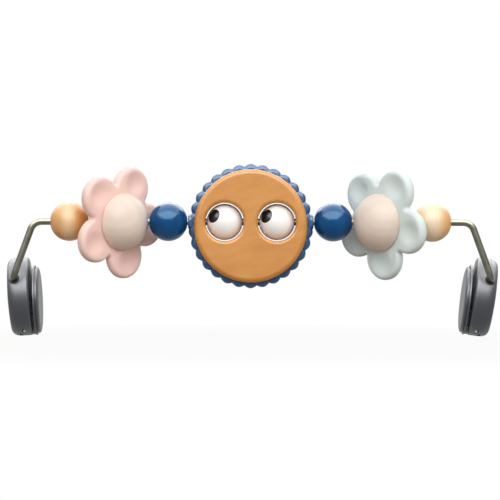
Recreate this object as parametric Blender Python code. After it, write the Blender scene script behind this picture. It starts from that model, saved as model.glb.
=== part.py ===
"""Bouncer toy bar: a bent wire with turning beads, flowers, a round face and two seat clips.

Metres, +Z up, +X to the right and -Y towards the viewer. The origin lies midway between the
two clips, at the height of their discs' centres.
"""

import math

import bmesh
import bpy
from mathutils import Matrix, Vector

# Clearances
GAP = 0.0003
BORE_CLEARANCE = 0.00045
OVERRUN = 0.004

# Bent wire
WIRE_DIAMETER = 0.0062
WIRE_CORNER_RADIUS = 0.0105
WIRE_LEG_SLANT = math.radians(20)
WIRE_SOCKET_DROP = 0.0515
WIRE_SOCKET_RADIUS = 0.0085
WIRE_END_PAST_MIDDLE = 0.0006
WIRE_SIDES = 12
WIRE_BEND_STEPS = 5
RETAINER_WIDTH = 0.0016
RETAINER_THICKNESS = 0.0016
RETAINER_INSET = 0.003

# Row of beads
ROW_SHIFT = -0.0015
ROW_END_ROOM = 0.0163
SMALL_BEAD_DIAMETER = 0.035
BEAD_SIDES = 24
BEAD_RINGS = 8

# Flowers
FLOWER_BALL_DIAMETER = 0.0533
PETAL_COUNT = 5
PETAL_RADIUS = 0.0198
PETAL_CENTRE_SHARE = 1.626
PETAL_NOTCH_RADIUS = 0.0015
PETAL_THICKNESS = 0.0095
PETAL_EDGE_RADIUS = 0.004
PETAL_DISH_INNER_MARGIN = 0.0006
PETAL_DISH_OUTER_MARGIN = 0.0042
PETAL_DISH_DEPTH = 0.0022
PETAL_DISH_SIDES = 16
PETAL_DISH_STEPS = 3
PETAL_EDGE_STEPS = 3
PETAL_ARC_STEPS = 14
PETAL_NOTCH_STEPS = 4
DOME_SIDES = 30
DOME_RINGS = 7
FLOWER_TURN = math.radians(45.5)
FLOWER_LEAN = math.radians(4.8)
PINK_FIRST_PETAL = math.radians(-79.5)
MINT_FIRST_PETAL = math.radians(-84)
FLOWER_DOWEL_DIAMETER = 0.006
FLOWER_DOWEL_DEPTH_SHARE = 0.375
FLOWER_DOWEL_SPREAD_SHARE = 0.43

# Face
FACE_DIAMETER = 0.1015
FACE_THICKNESS = 0.0078
FACE_EDGE_RADIUS = 0.0044
FACE_BACK_EDGE_RADIUS = 0.0012
FACE_DROP = 0.0036
FACE_SIDES = 44
FACE_EDGE_STEPS = 3
RIM_SHOW = 0.00535
RIM_LOBE_DEPTH = 0.0018
RIM_LOBE_COUNT = 30
RIM_LOBE_STEPS = 4
RIM_EDGE_STEPS = 2
RIM_THICKNESS = 0.013
RIM_EDGE_RADIUS = 0.0045
BOSS_BASE_WIDTH = 0.027
BOSS_PROUD = 0.0002
BOSS_ROOT_DEPTH = 0.0096
EYE_SPACING_SHARE = 0.463
EYE_DIAMETER_SHARE = 0.32
EYE_SOCKET_CLEARANCE = 0.001
EYE_LIP_WIDTH = 0.0032
EYE_LIP_STEPS = 2
EYE_SOCKET_SIDES = 28
PUPIL_DIAMETER_SHARE = 0.375
PUPIL_THICKNESS = 0.003
PUPIL_SIDES = 18
PUPIL_STEPS = 2
PUPIL_DIRECTION = (-0.63, -0.70, 0.34)
FACE_SCREW_CIRCLE_SHARE = 0.76
FACE_SCREW_ANGLES = tuple(math.radians(degrees) for degrees in (60, 120, 240, 300))
SCREW_SHANK_DIAMETER = 0.0032
SCREW_HEAD_DIAMETER = 0.0066
SCREW_HEAD_THICKNESS = 0.0022
SCREW_GRIP_DEPTH = 0.0045
SCREW_RECESS_DEPTH = 0.0026
SCREW_DRIVE_DIAMETER = 0.0026
SCREW_DRIVE_DEPTH = 0.0012

# Clips
CLIP_DIAMETER = 0.0715
CLIP_DRUM_DEPTH = 0.0193
CLIP_TAPER_DEPTH = 0.0085
CLIP_RIM_TAPER = 0.0051
CLIP_CORNER_RADIUS = 0.0026
CLIP_RIM_WALL = 0.0057
CLIP_COVER_INSET = 0.0013
CLIP_COVER_LEDGE = 0.0022
CLIP_COVER_BULGE = 0.002
CLIP_FLOOR_THICKNESS = 0.0032
CLIP_SOCKET_RISE = 0.0171
CLIP_SOCKET_INSET = 0.0065
CLIP_SOCKET_WALL = 0.0038
CLIP_SOCKET_RIM_WIDTH = 0.0021
CLIP_SOCKET_RIM_DEPTH = 0.0016
CLIP_FRONT_CLEARANCE = 0.0012
LEFT_CLIP_TILT = math.radians(-4)
RIGHT_CLIP_TILT = math.radians(8)
CLIP_SIDES = 32
CLIP_EDGE_STEPS = 3

# Jaws
JAW_DROP = 0.0037
JAW_THICKNESS = 0.0056
JAW_BOTTOM_ROOM = 0.00005
JAW_SLOT_WIDTH = 0.0019
JAW_REST_OPENING = math.radians(1.3)
JAW_RIDGE_WIDTH = 0.0019
JAW_GROOVE_WIDTH = 0.0012
JAW_GROOVE_DEPTH = 0.003
JAW_RIDGE_STEP = 0.0018
JAW_EDGE_WIDTH = 0.006
JAW_EDGE_DEPTH = 0.0021
HINGE_DEPTH = 0.008
HINGE_INSET = 0.00455
HINGE_CLEARANCE = 0.0005
HINGE_PIN_DIAMETER = 0.003
HINGE_KNUCKLE_RADIUS = 0.0036
HINGE_LUG_WIDTH = 0.0125
HINGE_ARM_WIDTH = 0.006
HINGE_BLOCK_HEIGHT = 0.0042
HINGE_ARM_STEPS = 6
SPRING_WIDTH = 0.005
SPRING_DIAMETER = 0.0056
SPRING_WIRE_DIAMETER = 0.0009
SPRING_POCKET_REACH = 0.0068
PAD_DIAMETER_SHARE = 0.56
PAD_THICKNESS = 0.0012
PAD_RISE = 0.002
PAD_SIDES = 24

# Sizes that follow from those above
WIRE_RADIUS = WIRE_DIAMETER / 2
BORE_RADIUS = WIRE_RADIUS + BORE_CLEARANCE
RETAINER_RADIUS = WIRE_RADIUS + RETAINER_WIDTH
BEAD_RADIUS = SMALL_BEAD_DIAMETER / 2
BALL_RADIUS = FLOWER_BALL_DIAMETER / 2
PETAL_CENTRE_RADIUS = PETAL_RADIUS * PETAL_CENTRE_SHARE
PETAL_DISH_START = BALL_RADIUS + PETAL_DISH_INNER_MARGIN
PETAL_DISH_END = PETAL_CENTRE_RADIUS + PETAL_RADIUS - PETAL_DISH_OUTER_MARGIN
PETAL_DISH_RADIUS = (PETAL_DISH_END - PETAL_DISH_START) / 2
DOWEL_RADIUS = FLOWER_DOWEL_DIAMETER / 2
DOWEL_SPREAD = BALL_RADIUS * FLOWER_DOWEL_SPREAD_SHARE
DOWEL_REACH = PETAL_THICKNESS / 2 + BALL_RADIUS * FLOWER_DOWEL_DEPTH_SHARE
FACE_RADIUS = FACE_DIAMETER / 2
RIM_PEAK_RADIUS = FACE_RADIUS + RIM_SHOW
BOSS_REACH = RIM_PEAK_RADIUS + BOSS_PROUD
BOSS_RADIUS = RIM_THICKNESS / 2
EYE_SPACING = FACE_DIAMETER * EYE_SPACING_SHARE
EYE_RADIUS = FACE_RADIUS * EYE_DIAMETER_SHARE
EYE_SOCKET_RADIUS = EYE_RADIUS + EYE_SOCKET_CLEARANCE
PUPIL_RADIUS = EYE_RADIUS * PUPIL_DIAMETER_SHARE
CLIP_RADIUS = CLIP_DIAMETER / 2
CLIP_COVER_RADIUS = CLIP_RADIUS - CLIP_RIM_WALL
CLIP_RIM_STRAIGHT = CLIP_DRUM_DEPTH - CLIP_TAPER_DEPTH
CLIP_COVER_SEAT_DEPTH = CLIP_DRUM_DEPTH - CLIP_COVER_INSET
CLIP_SOCKET_DEPTH = CLIP_DRUM_DEPTH - CLIP_SOCKET_INSET
CLIP_SOCKET_RIM_RADIUS = WIRE_RADIUS + CLIP_SOCKET_RIM_WIDTH
JAW_RADIUS = CLIP_RADIUS - JAW_DROP - JAW_BOTTOM_ROOM
HINGE_DROP = CLIP_RADIUS - HINGE_INSET
HINGE_ROOM = HINGE_KNUCKLE_RADIUS + HINGE_CLEARANCE
HINGE_PIN_RADIUS = HINGE_PIN_DIAMETER / 2
JAW_DEPTH = HINGE_DEPTH + JAW_SLOT_WIDTH
PAD_RADIUS = CLIP_RADIUS * PAD_DIAMETER_SHARE

# Places that follow from the sizes above
BLUE_BEAD_SPAN = BOSS_REACH + GAP + BEAD_RADIUS
FLOWER_SPAN = BLUE_BEAD_SPAN + BEAD_RADIUS + GAP + BALL_RADIUS
WOOD_BEAD_SPAN = FLOWER_SPAN + BALL_RADIUS + GAP + BEAD_RADIUS
WIRE_CORNER_SPAN = WOOD_BEAD_SPAN + BEAD_RADIUS + ROW_END_ROOM
SOCKET_SPAN = WIRE_CORNER_SPAN + WIRE_SOCKET_DROP * math.tan(WIRE_LEG_SLANT)
SOCKET_RIM_BACKSET = math.sqrt(CLIP_RADIUS**2 - CLIP_SOCKET_RISE**2)
BAR_HEIGHT = WIRE_SOCKET_DROP + CLIP_SOCKET_RISE
BAR_FORWARD = WIRE_SOCKET_RADIUS + CLIP_FRONT_CLEARANCE + SOCKET_RIM_BACKSET
BAR_CENTRE = Vector((0, -BAR_FORWARD, BAR_HEIGHT))
WIRE_END_LENGTH = BAR_FORWARD + WIRE_END_PAST_MIDDLE
RETAINER_PLACE = WIRE_END_LENGTH - RETAINER_INSET - RETAINER_THICKNESS

SIDES = {"left": -1, "right": 1}
ALONG_X = Matrix.Rotation(math.pi / 2, 4, "Y")
ALONG_Y = Matrix.Rotation(-math.pi / 2, 4, "X")
SHARP_ANGLE = math.radians(35)


def make_material(name, colour, roughness, metallic=0.0):
    """Make a plain Principled material."""
    material = bpy.data.materials.new(name)
    material.use_nodes = True
    shader = material.node_tree.nodes["Principled BSDF"]
    shader.inputs["Base Color"].default_value = (*colour, 1)
    shader.inputs["Roughness"].default_value = roughness
    shader.inputs["Metallic"].default_value = metallic
    material.diffuse_color = (*colour, 1)
    return material


def make_materials():
    """Make every finish, keyed by a plain name."""
    return {
        "wire": make_material("satin_wire", (0.36, 0.35, 0.29), 0.35, 0.9),
        "steel": make_material("plated_steel", (0.62, 0.62, 0.60), 0.30, 1.0),
        "wood": make_material("golden_wood", (0.72, 0.46, 0.20), 0.45),
        "pale_wood": make_material("pale_wood", (0.80, 0.58, 0.34), 0.45),
        "honey": make_material("honey_wood", (0.62, 0.29, 0.09), 0.50),
        "blue": make_material("blue_lacquer", (0.02, 0.10, 0.22), 0.30),
        "rim": make_material("blue_plastic", (0.05, 0.15, 0.30), 0.40),
        "pink": make_material("pink_plastic", (0.80, 0.50, 0.46), 0.50),
        "mint": make_material("mint_plastic", (0.58, 0.72, 0.66), 0.50),
        "cream": make_material("cream_lacquer", (0.86, 0.77, 0.66), 0.45),
        "white": make_material("white_lacquer", (0.90, 0.87, 0.85), 0.35),
        "black": make_material("black_lacquer", (0.01, 0.01, 0.01), 0.35),
        "grey": make_material("grey_plastic", (0.16, 0.18, 0.20), 0.45),
        "pad": make_material("grip_rubber", (0.05, 0.055, 0.06), 0.80),
        "dowel": make_material("dowel_wood", (0.66, 0.48, 0.28), 0.60),
    }


def add_object(name, mesh, material, place=None, parent=None):
    """Put a mesh in the scene as one named sub-part."""
    piece = bpy.data.objects.new(name, mesh)
    bpy.context.scene.collection.objects.link(piece)
    mesh.materials.append(material)
    mesh.shade_smooth()
    mesh.set_sharp_from_angle(angle=SHARP_ANGLE)
    piece.parent = parent
    piece.matrix_basis = place if place is not None else Matrix()
    return piece


def add_empty(name, place, parent=None):
    """Put an empty on a joint's axis, to carry the pieces that move about it."""
    empty = bpy.data.objects.new(name, None)
    bpy.context.scene.collection.objects.link(empty)
    empty.empty_display_size = WIRE_DIAMETER
    empty.parent = parent
    empty.matrix_basis = place
    return empty


def finish_mesh(name, builder):
    """Close a bmesh with its faces pointing out and turn it into a mesh."""
    bmesh.ops.recalc_face_normals(builder, faces=builder.faces[:])
    mesh = bpy.data.meshes.new(name)
    builder.to_mesh(mesh)
    builder.free()
    return mesh


def turned_mesh(name, profile, turn=None, sides=BEAD_SIDES):
    """Turn a closed profile of (radius, height) points about Z, then place it by a matrix."""
    builder = bmesh.new()
    rings = []
    for radius, height in profile:
        turned = [(0, 0, height)]
        if radius:
            angles = [2 * math.pi * (step + 0.5) / sides for step in range(sides)]
            turned = [(radius * math.cos(a), radius * math.sin(a), height) for a in angles]
        rings.append([builder.verts.new(point) for point in turned])
    for place, upper in enumerate(rings):
        lower = rings[place - 1]
        flat = profile[place - 1][1] == profile[place][1]
        if len(lower) == len(upper) == 1:
            continue
        if flat and 1 in (len(lower), len(upper)):
            builder.faces.new(max(lower, upper, key=len))
            continue
        for step in range(sides):
            after = (step + 1) % sides
            corners = [lower[step % len(lower)], lower[after % len(lower)]]
            corners += [upper[after % len(upper)], upper[step % len(upper)]]
            builder.faces.new(list(dict.fromkeys(corners)))
    bmesh.ops.delete(builder, geom=[v for v in builder.verts if not v.link_faces], context="VERTS")
    if turn is not None:
        bmesh.ops.transform(builder, matrix=turn, verts=builder.verts[:])
    return finish_mesh(name, builder)


def prism_mesh(name, outline, depth_from, depth_to, turn=None):
    """Extrude an outline of (x, y) points along Z between two depths."""
    builder = bmesh.new()
    lower = [builder.verts.new((x, y, depth_from)) for x, y in outline]
    upper = [builder.verts.new((x, y, depth_to)) for x, y in outline]
    builder.faces.new(lower)
    builder.faces.new(upper[::-1])
    for step, corner in enumerate(lower):
        before = step - 1
        builder.faces.new((lower[before], upper[before], upper[step], corner))
    if turn is not None:
        bmesh.ops.transform(builder, matrix=turn, verts=builder.verts[:])
    return finish_mesh(name, builder)


def box_mesh(name, low, high):
    """Make a box between two corners."""
    outline = [(low[0], low[1]), (high[0], low[1]), (high[0], high[1]), (low[0], high[1])]
    return prism_mesh(name, outline, low[2], high[2])


def rod_profile(radius, low, high):
    """Give the profile of a plain cylinder."""
    return [(0, low), (radius, low), (radius, high), (0, high)]


def ring_profile(inner, outer, low, high):
    """Give the profile of a plain ring."""
    return [(inner, low), (outer, low), (outer, high), (inner, high)]


def arc_points(centre, radius, start, end, steps):
    """List points along an arc, ends included."""
    angles = [start + (end - start) * step / steps for step in range(steps + 1)]
    return [(centre[0] + radius * math.cos(a), centre[1] + radius * math.sin(a)) for a in angles]


def combine(target, tool, operation="DIFFERENCE", place=None):
    """Cut, join or trim a piece with a hidden tool mesh."""
    cutter = bpy.data.objects.new(f"{target.name}_tool_{len(target.modifiers)}", tool)
    bpy.context.scene.collection.objects.link(cutter)
    cutter.parent = target
    cutter.matrix_basis = place if place is not None else Matrix()
    cutter.hide_render = True
    cutter.display_type = "WIRE"
    modifier = target.modifiers.new(f"{operation.lower()}_{len(target.modifiers)}", "BOOLEAN")
    modifier.operation = operation
    modifier.solver = "EXACT"
    modifier.object = cutter


def bored_ball_mesh(name, radius):
    """Make a ball with the wire's bore through it along X."""
    start = math.asin(BORE_RADIUS / radius)
    arc = arc_points((0, 0), radius, math.pi / 2 - start, start - math.pi / 2, BEAD_RINGS)
    return turned_mesh(name, arc, ALONG_X)


def row_place(span):
    """Place a piece on the bar's axis at a distance from the middle of the row."""
    return Matrix.Translation(BAR_CENTRE + Vector((ROW_SHIFT + span, 0, 0)))


def corner_arc(corner, before, after, radius, steps):
    """List points of a rounded corner between two straight runs, given by unit directions."""
    half_turn = before.angle(after) / 2
    setback = radius * math.tan(half_turn)
    centre = corner + (after - before).normalized() * (radius / math.cos(half_turn))
    start = corner - before * setback - centre
    axis = before.cross(after).normalized()
    turns = [Matrix.Rotation(2 * half_turn * step / steps, 3, axis) for step in range(steps + 1)]
    return [centre + turn @ start for turn in turns]


def wire_route():
    """List the wire's points from the left end, inside the clip, to the right end."""
    halves = []
    for side in SIDES.values():
        outward = Vector((side, 0, 0))
        down = Vector((side * math.sin(WIRE_LEG_SLANT), 0, -math.cos(WIRE_LEG_SLANT)))
        back = Vector((0, 1, 0))
        corner = BAR_CENTRE + Vector((side * WIRE_CORNER_SPAN, 0, 0))
        lower = socket_point(side)
        half = corner_arc(corner, outward, down, WIRE_CORNER_RADIUS, WIRE_BEND_STEPS)
        half += corner_arc(lower, down, back, WIRE_SOCKET_RADIUS, WIRE_BEND_STEPS)
        half.append(lower + back * WIRE_END_LENGTH)
        halves.append(half)
    return halves[0][::-1] + halves[1]


def socket_point(side):
    """Give the place where the swivel axis of one clip meets the plane of the bar."""
    return BAR_CENTRE + Vector((side * SOCKET_SPAN, 0, -WIRE_SOCKET_DROP))


def build_wire(materials):
    """Build the bent wire and the two rings that keep the clips on its ends."""
    curve = bpy.data.curves.new("bar_wire", "CURVE")
    curve.dimensions = "3D"
    curve.bevel_depth = WIRE_RADIUS
    curve.bevel_resolution = (WIRE_SIDES - 4) // 2
    curve.use_fill_caps = True
    route = wire_route()
    spline = curve.splines.new("POLY")
    spline.points.add(len(route) - 1)
    for point, place in zip(spline.points, route):
        point.co = (*place, 1)
    spline.use_smooth = True
    curve.materials.append(materials["wire"])
    wire = bpy.data.objects.new("bar_wire", curve)
    bpy.context.scene.collection.objects.link(wire)
    for name, side in SIDES.items():
        profile = ring_profile(WIRE_RADIUS + GAP, RETAINER_RADIUS, 0, RETAINER_THICKNESS)
        mesh = turned_mesh(f"{name}_wire_retainer", profile, ALONG_Y, WIRE_SIDES)
        place = Matrix.Translation(socket_point(side) + Vector((0, RETAINER_PLACE, 0)))
        add_object(f"{name}_wire_retainer", mesh, materials["steel"], place)


def build_beads(materials):
    """Build the two wooden beads and the two blue beads."""
    woods = {"left": materials["wood"], "right": materials["pale_wood"]}
    for name, side in SIDES.items():
        for kind, span, finish in (
            ("wood", WOOD_BEAD_SPAN, woods[name]),
            ("blue", BLUE_BEAD_SPAN, materials["blue"]),
        ):
            label = f"{name}_{kind}_bead"
            mesh = bored_ball_mesh(label, BEAD_RADIUS)
            add_object(label, mesh, finish, row_place(side * span))


def rounded_plate_mesh(name, outline, thickness, edge, steps):
    """Make a plate with both edges rounded, from a function that gives its outline at an inset."""
    half = thickness / 2
    lower = arc_points((edge, edge - half), edge, -math.pi / 2, -math.pi, steps)
    upper = arc_points((edge, half - edge), edge, math.pi, math.pi / 2, steps)
    builder = bmesh.new()
    rings = []
    for inset, height in lower + upper:
        rings.append([builder.verts.new((x, y, height)) for x, y in outline(inset)])
    builder.faces.new(rings[0])
    builder.faces.new(rings[-1])
    for below, above in zip(rings, rings[1:]):
        for step, corner in enumerate(below):
            before = step - 1
            builder.faces.new((below[before], above[before], above[step], corner))
    return finish_mesh(name, builder)


def petal_outline(inset):
    """List the outline of a petal plate, drawn in by an inset: petals with small round notches."""
    half_turn = math.pi / PETAL_COUNT
    span = PETAL_RADIUS + PETAL_NOTCH_RADIUS
    lean = math.asin(PETAL_CENTRE_RADIUS * math.sin(half_turn) / span)
    reach = half_turn + lean
    middle = PETAL_CENTRE_RADIUS * math.cos(half_turn) + span * math.cos(lean)
    notch_centre = (middle * math.cos(half_turn), middle * math.sin(half_turn))
    notch_turns = (reach + math.pi, half_turn - lean + math.pi)
    arc = arc_points((PETAL_CENTRE_RADIUS, 0), PETAL_RADIUS - inset, -reach, reach, PETAL_ARC_STEPS)
    notch_radius = PETAL_NOTCH_RADIUS + inset
    arc += arc_points(notch_centre, notch_radius, *notch_turns, PETAL_NOTCH_STEPS)[1:-1]
    points = []
    for petal in range(PETAL_COUNT):
        turn = Matrix.Rotation(2 * half_turn * petal, 2)
        points += [turn @ Vector(point) for point in arc]
    return points


def dish_mesh(name):
    """Make the lens that hollows the front of one petal."""
    top = PETAL_THICKNESS / 2
    curve_radius = (PETAL_DISH_RADIUS**2 + PETAL_DISH_DEPTH**2) / (2 * PETAL_DISH_DEPTH)
    centre = (0, top - PETAL_DISH_DEPTH + curve_radius)
    reach = math.asin(PETAL_DISH_RADIUS / curve_radius)
    profile = arc_points(centre, curve_radius, -math.pi / 2, reach - math.pi / 2, PETAL_DISH_STEPS)
    profile[0] = (0, top - PETAL_DISH_DEPTH)
    profile += [(PETAL_DISH_RADIUS, top + OVERRUN), (0, top + OVERRUN)]
    return turned_mesh(name, profile, sides=PETAL_DISH_SIDES)


def dome_profile(facing):
    """Give the profile of a half-ball that sits on the petal plate."""
    base = PETAL_THICKNESS / 2 + GAP
    start = math.asin(base / BALL_RADIUS)
    arc = arc_points((0, 0), BALL_RADIUS, start, math.pi / 2, DOME_RINGS)
    profile = [(0, base), *arc[:-1], (0, BALL_RADIUS)]
    return [(radius, height * facing) for radius, height in profile]


def flower_frame(side):
    """Place a flower on the bar, leaning forwards, with Z as its plate's normal and Y upwards."""
    sine, cosine = math.sin(FLOWER_TURN), math.cos(FLOWER_TURN)
    turn = Matrix(((cosine, 0, -side * sine), (-side * sine, 0, -cosine), (0, 1, 0)))
    lean = Matrix.Rotation(FLOWER_LEAN, 4, "X")
    return row_place(side * FLOWER_SPAN) @ lean @ turn.to_4x4()


def bore_tool(name, length):
    """Make the cutter of the wire's bore, along X."""
    profile = rod_profile(BORE_RADIUS, -length / 2, length / 2)
    return turned_mesh(name, profile, ALONG_X, WIRE_SIDES * 2)


def build_dowels(name, frame, pieces, finish):
    """Drill a flower's pieces for two dowels and put the dowels in."""
    hole = rod_profile(DOWEL_RADIUS + GAP, -DOWEL_REACH - GAP, DOWEL_REACH + GAP)
    rod = rod_profile(DOWEL_RADIUS, -DOWEL_REACH, DOWEL_REACH)
    for facing, part in ((1, "upper"), (-1, "lower")):
        place = Matrix.Translation((0, facing * DOWEL_SPREAD, 0))
        for piece in pieces:
            tool = turned_mesh(f"{name}_dowel_hole", hole, sides=WIRE_SIDES)
            combine(piece, tool, place=place)
        mesh = turned_mesh(f"{name}_{part}_dowel", rod, sides=WIRE_SIDES)
        add_object(f"{name}_{part}_dowel", mesh, finish, frame @ place)


def build_flower(name, side, first_petal, petal_finish, materials):
    """Build one flower: a petal plate between two half-balls, with two dowels through all."""
    frame = flower_frame(side)
    spin = Matrix.Rotation(first_petal, 4, "Z")
    mesh = rounded_plate_mesh(name, petal_outline, PETAL_THICKNESS, PETAL_EDGE_RADIUS,
                              PETAL_EDGE_STEPS)
    mesh.transform(spin)
    plate = add_object(f"{name}_petals", mesh, petal_finish, frame)
    domes = []
    for facing, part in ((1, "front"), (-1, "rear")):
        label = f"{name}_{part}_dome"
        mesh = turned_mesh(label, dome_profile(facing), sides=DOME_SIDES)
        domes.append(add_object(label, mesh, materials["cream"], frame))

    along_bar = frame.to_3x3().inverted().to_4x4()
    for piece in (plate, *domes):
        combine(piece, bore_tool(f"{name}_bore", 2 * FLOWER_BALL_DIAMETER), place=along_bar)
    build_dowels(name, frame, (plate, *domes), materials["dowel"])
    for petal in range(PETAL_COUNT):
        turn = Matrix.Rotation(2 * math.pi * petal / PETAL_COUNT, 4, "Z")
        shift = Matrix.Translation((PETAL_DISH_START + PETAL_DISH_RADIUS, 0, 0))
        combine(plate, dish_mesh(f"{name}_dish"), place=spin @ turn @ shift)


def rim_outline(inset):
    """List the lobed outline of the blue disc, drawn in by an inset, as (x, z) points."""
    points = []
    count = RIM_LOBE_COUNT * RIM_LOBE_STEPS
    for step in range(count):
        angle = math.pi / 2 + 2 * math.pi * step / count
        lobe = abs(math.cos((angle - math.pi / 2) * RIM_LOBE_COUNT / 2))
        radius = RIM_PEAK_RADIUS - RIM_LOBE_DEPTH * (1 - lobe) - inset
        points.append((radius * math.cos(angle), radius * math.sin(angle)))
    return points


def boss_mesh(name, side):
    """Make the tapered boss at one side of the blue disc, on the bar's axis."""
    radius = BOSS_RADIUS - GAP
    root = (RIM_PEAK_RADIUS - BOSS_ROOT_DEPTH, BOSS_BASE_WIDTH / 2 - radius, -FACE_DROP)
    tip = (BOSS_REACH, 0, 0)
    builder = bmesh.new()
    rings = []
    for span, straight, height in (root, tip):
        ring = []
        for step in range(BEAD_SIDES):
            angle = 2 * math.pi * (step + 0.5) / BEAD_SIDES
            rise = math.copysign(straight, math.sin(angle)) + radius * math.sin(angle)
            point = (side * span, radius * math.cos(angle), height + rise)
            ring.append(builder.verts.new(point))
        rings.append(ring)
    builder.faces.new(rings[0])
    builder.faces.new(rings[1])
    for step, corner in enumerate(rings[0]):
        before = step - 1
        builder.faces.new((rings[0][before], rings[1][before], rings[1][step], corner))
    return finish_mesh(name, builder)


def screw_place(angle):
    """Place a face screw, measured from the face's middle on the bar, with Z to the back."""
    radius = FACE_RADIUS * FACE_SCREW_CIRCLE_SHARE
    x = radius * math.cos(angle)
    z = radius * math.sin(angle) - FACE_DROP
    return Matrix.Translation((x, RIM_THICKNESS / 2, z)) @ ALONG_Y


def screw_profile():
    """Give the profile of a face screw, from its tip in the wood to its sunk head."""
    shank, head, drive = (
        size / 2 for size in (SCREW_SHANK_DIAMETER, SCREW_HEAD_DIAMETER, SCREW_DRIVE_DIAMETER)
    )
    top = GAP + SCREW_HEAD_THICKNESS - SCREW_RECESS_DEPTH
    under = top - SCREW_HEAD_THICKNESS
    tip = -RIM_THICKNESS - SCREW_GRIP_DEPTH
    floor = top - SCREW_DRIVE_DEPTH
    profile = [(0, tip), (shank, tip), (shank, under), (head, under), (head, top)]
    return profile + [(drive, top), (drive, floor), (0, floor)]


def screw_hole_profile():
    """Give the profile of the hole round a face screw, open at the back."""
    shank = SCREW_SHANK_DIAMETER / 2 + GAP
    head = SCREW_HEAD_DIAMETER / 2 + GAP
    tip = -RIM_THICKNESS - SCREW_GRIP_DEPTH - GAP
    shoulder = -SCREW_RECESS_DEPTH
    profile = [(0, tip), (shank, tip), (shank, shoulder), (head, shoulder)]
    return profile + [(head, OVERRUN), (0, OVERRUN)]


def face_disc_profile(front, back):
    """Give the profile of the wooden disc, rounded in front and a little behind."""
    edge, back_edge = FACE_EDGE_RADIUS, FACE_BACK_EDGE_RADIUS
    fore = (FACE_RADIUS - edge, front + edge)
    rear = (FACE_RADIUS - back_edge, back - back_edge)
    profile = [(0, front)]
    profile += arc_points(fore, edge, -math.pi / 2, 0, FACE_EDGE_STEPS)
    profile += arc_points(rear, back_edge, 0, math.pi / 2, 1)
    return profile + [(0, back)]


def eye_socket_profile(front, back):
    """Give the profile of the cutter for an eye's socket, with a rounded lip in front."""
    outer = EYE_SOCKET_RADIUS + EYE_LIP_WIDTH
    middle = (outer, front + EYE_LIP_WIDTH)
    lip = arc_points(middle, EYE_LIP_WIDTH, -math.pi / 2, -math.pi, EYE_LIP_STEPS)
    profile = [(0, front - OVERRUN), (outer, front - OVERRUN), *lip]
    return profile + [(EYE_SOCKET_RADIUS, back + OVERRUN), (0, back + OVERRUN)]


def build_face(materials):
    """Build the round wooden face, the lobed blue disc behind it and their screws."""
    middle = row_place(0)
    drop = Matrix.Translation((0, 0, -FACE_DROP))
    back = -RIM_THICKNESS / 2 - GAP
    front = back - FACE_THICKNESS
    profile = face_disc_profile(front, back)
    mesh = turned_mesh("face_disc", profile, ALONG_Y, FACE_SIDES)
    face = add_object("face_disc", mesh, materials["honey"], middle @ drop)

    upright = drop @ Matrix.Rotation(math.pi / 2, 4, "X")
    mesh = rounded_plate_mesh("scallop_disc", rim_outline, RIM_THICKNESS, RIM_EDGE_RADIUS,
                              RIM_EDGE_STEPS)
    rim = add_object("scallop_disc", mesh, materials["rim"], middle @ upright)
    for side in SIDES.values():
        combine(rim, boss_mesh("boss", side), "UNION", upright.inverted())
    combine(rim, bore_tool("rim_bore", 2 * FACE_DIAMETER), place=upright.inverted())

    cut_eye_sockets(face, rim, drop, upright, eye_socket_profile(front, back))
    build_face_screws(face, rim, drop, upright, materials["steel"])


def cut_eye_sockets(face, rim, drop, upright, socket_profile):
    """Cut the two eye sockets through the wooden disc and the blue disc."""
    straight = rod_profile(EYE_SOCKET_RADIUS, -RIM_THICKNESS, RIM_THICKNESS)
    for side in SIDES.values():
        place = Matrix.Translation((side * EYE_SPACING / 2, 0, 0))
        tool = turned_mesh("eye_socket", socket_profile, ALONG_Y, EYE_SOCKET_SIDES)
        combine(face, tool, place=drop.inverted() @ place)
        tool = turned_mesh("rim_eye_socket", straight, ALONG_Y, EYE_SOCKET_SIDES)
        combine(rim, tool, place=upright.inverted() @ place)


def build_face_screws(face, rim, drop, upright, finish):
    """Drill both discs from behind and put in the four screws that hold them together."""
    names = ("upper_right", "upper_left", "lower_left", "lower_right")
    for name, angle in zip(names, FACE_SCREW_ANGLES):
        place = screw_place(angle)
        for piece, frame in ((face, drop), (rim, upright)):
            tool = turned_mesh("screw_hole", screw_hole_profile(), sides=WIRE_SIDES)
            combine(piece, tool, place=frame.inverted() @ place)
        mesh = turned_mesh(f"{name}_face_screw", screw_profile(), sides=WIRE_SIDES)
        add_object(f"{name}_face_screw", mesh, finish, row_place(0) @ place)


def build_eyes(materials):
    """Build the two eye balls on the bar, each with its inlaid pupil."""
    floor = EYE_RADIUS - PUPIL_THICKNESS
    gaze = Vector(PUPIL_DIRECTION).normalized().to_track_quat("Z", "Y").to_matrix().to_4x4()
    reach = math.asin(PUPIL_RADIUS / EYE_RADIUS)
    cap = arc_points((0, 0), EYE_RADIUS, math.pi / 2 - reach, math.pi / 2, PUPIL_STEPS)
    plug = [(0, floor), (PUPIL_RADIUS, floor), *cap[:-1], (0, EYE_RADIUS)]
    pocket = rod_profile(PUPIL_RADIUS + GAP, floor - GAP, EYE_RADIUS + OVERRUN)
    for name, side in SIDES.items():
        place = row_place(side * EYE_SPACING / 2)
        mesh = bored_ball_mesh(f"{name}_eye_ball", EYE_RADIUS)
        ball = add_object(f"{name}_eye_ball", mesh, materials["white"], place)
        combine(ball, turned_mesh("pupil_pocket", pocket, sides=PUPIL_SIDES), place=gaze)
        mesh = turned_mesh(f"{name}_pupil", plug, sides=PUPIL_SIDES)
        add_object(f"{name}_pupil", mesh, materials["black"], place @ gaze)


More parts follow.
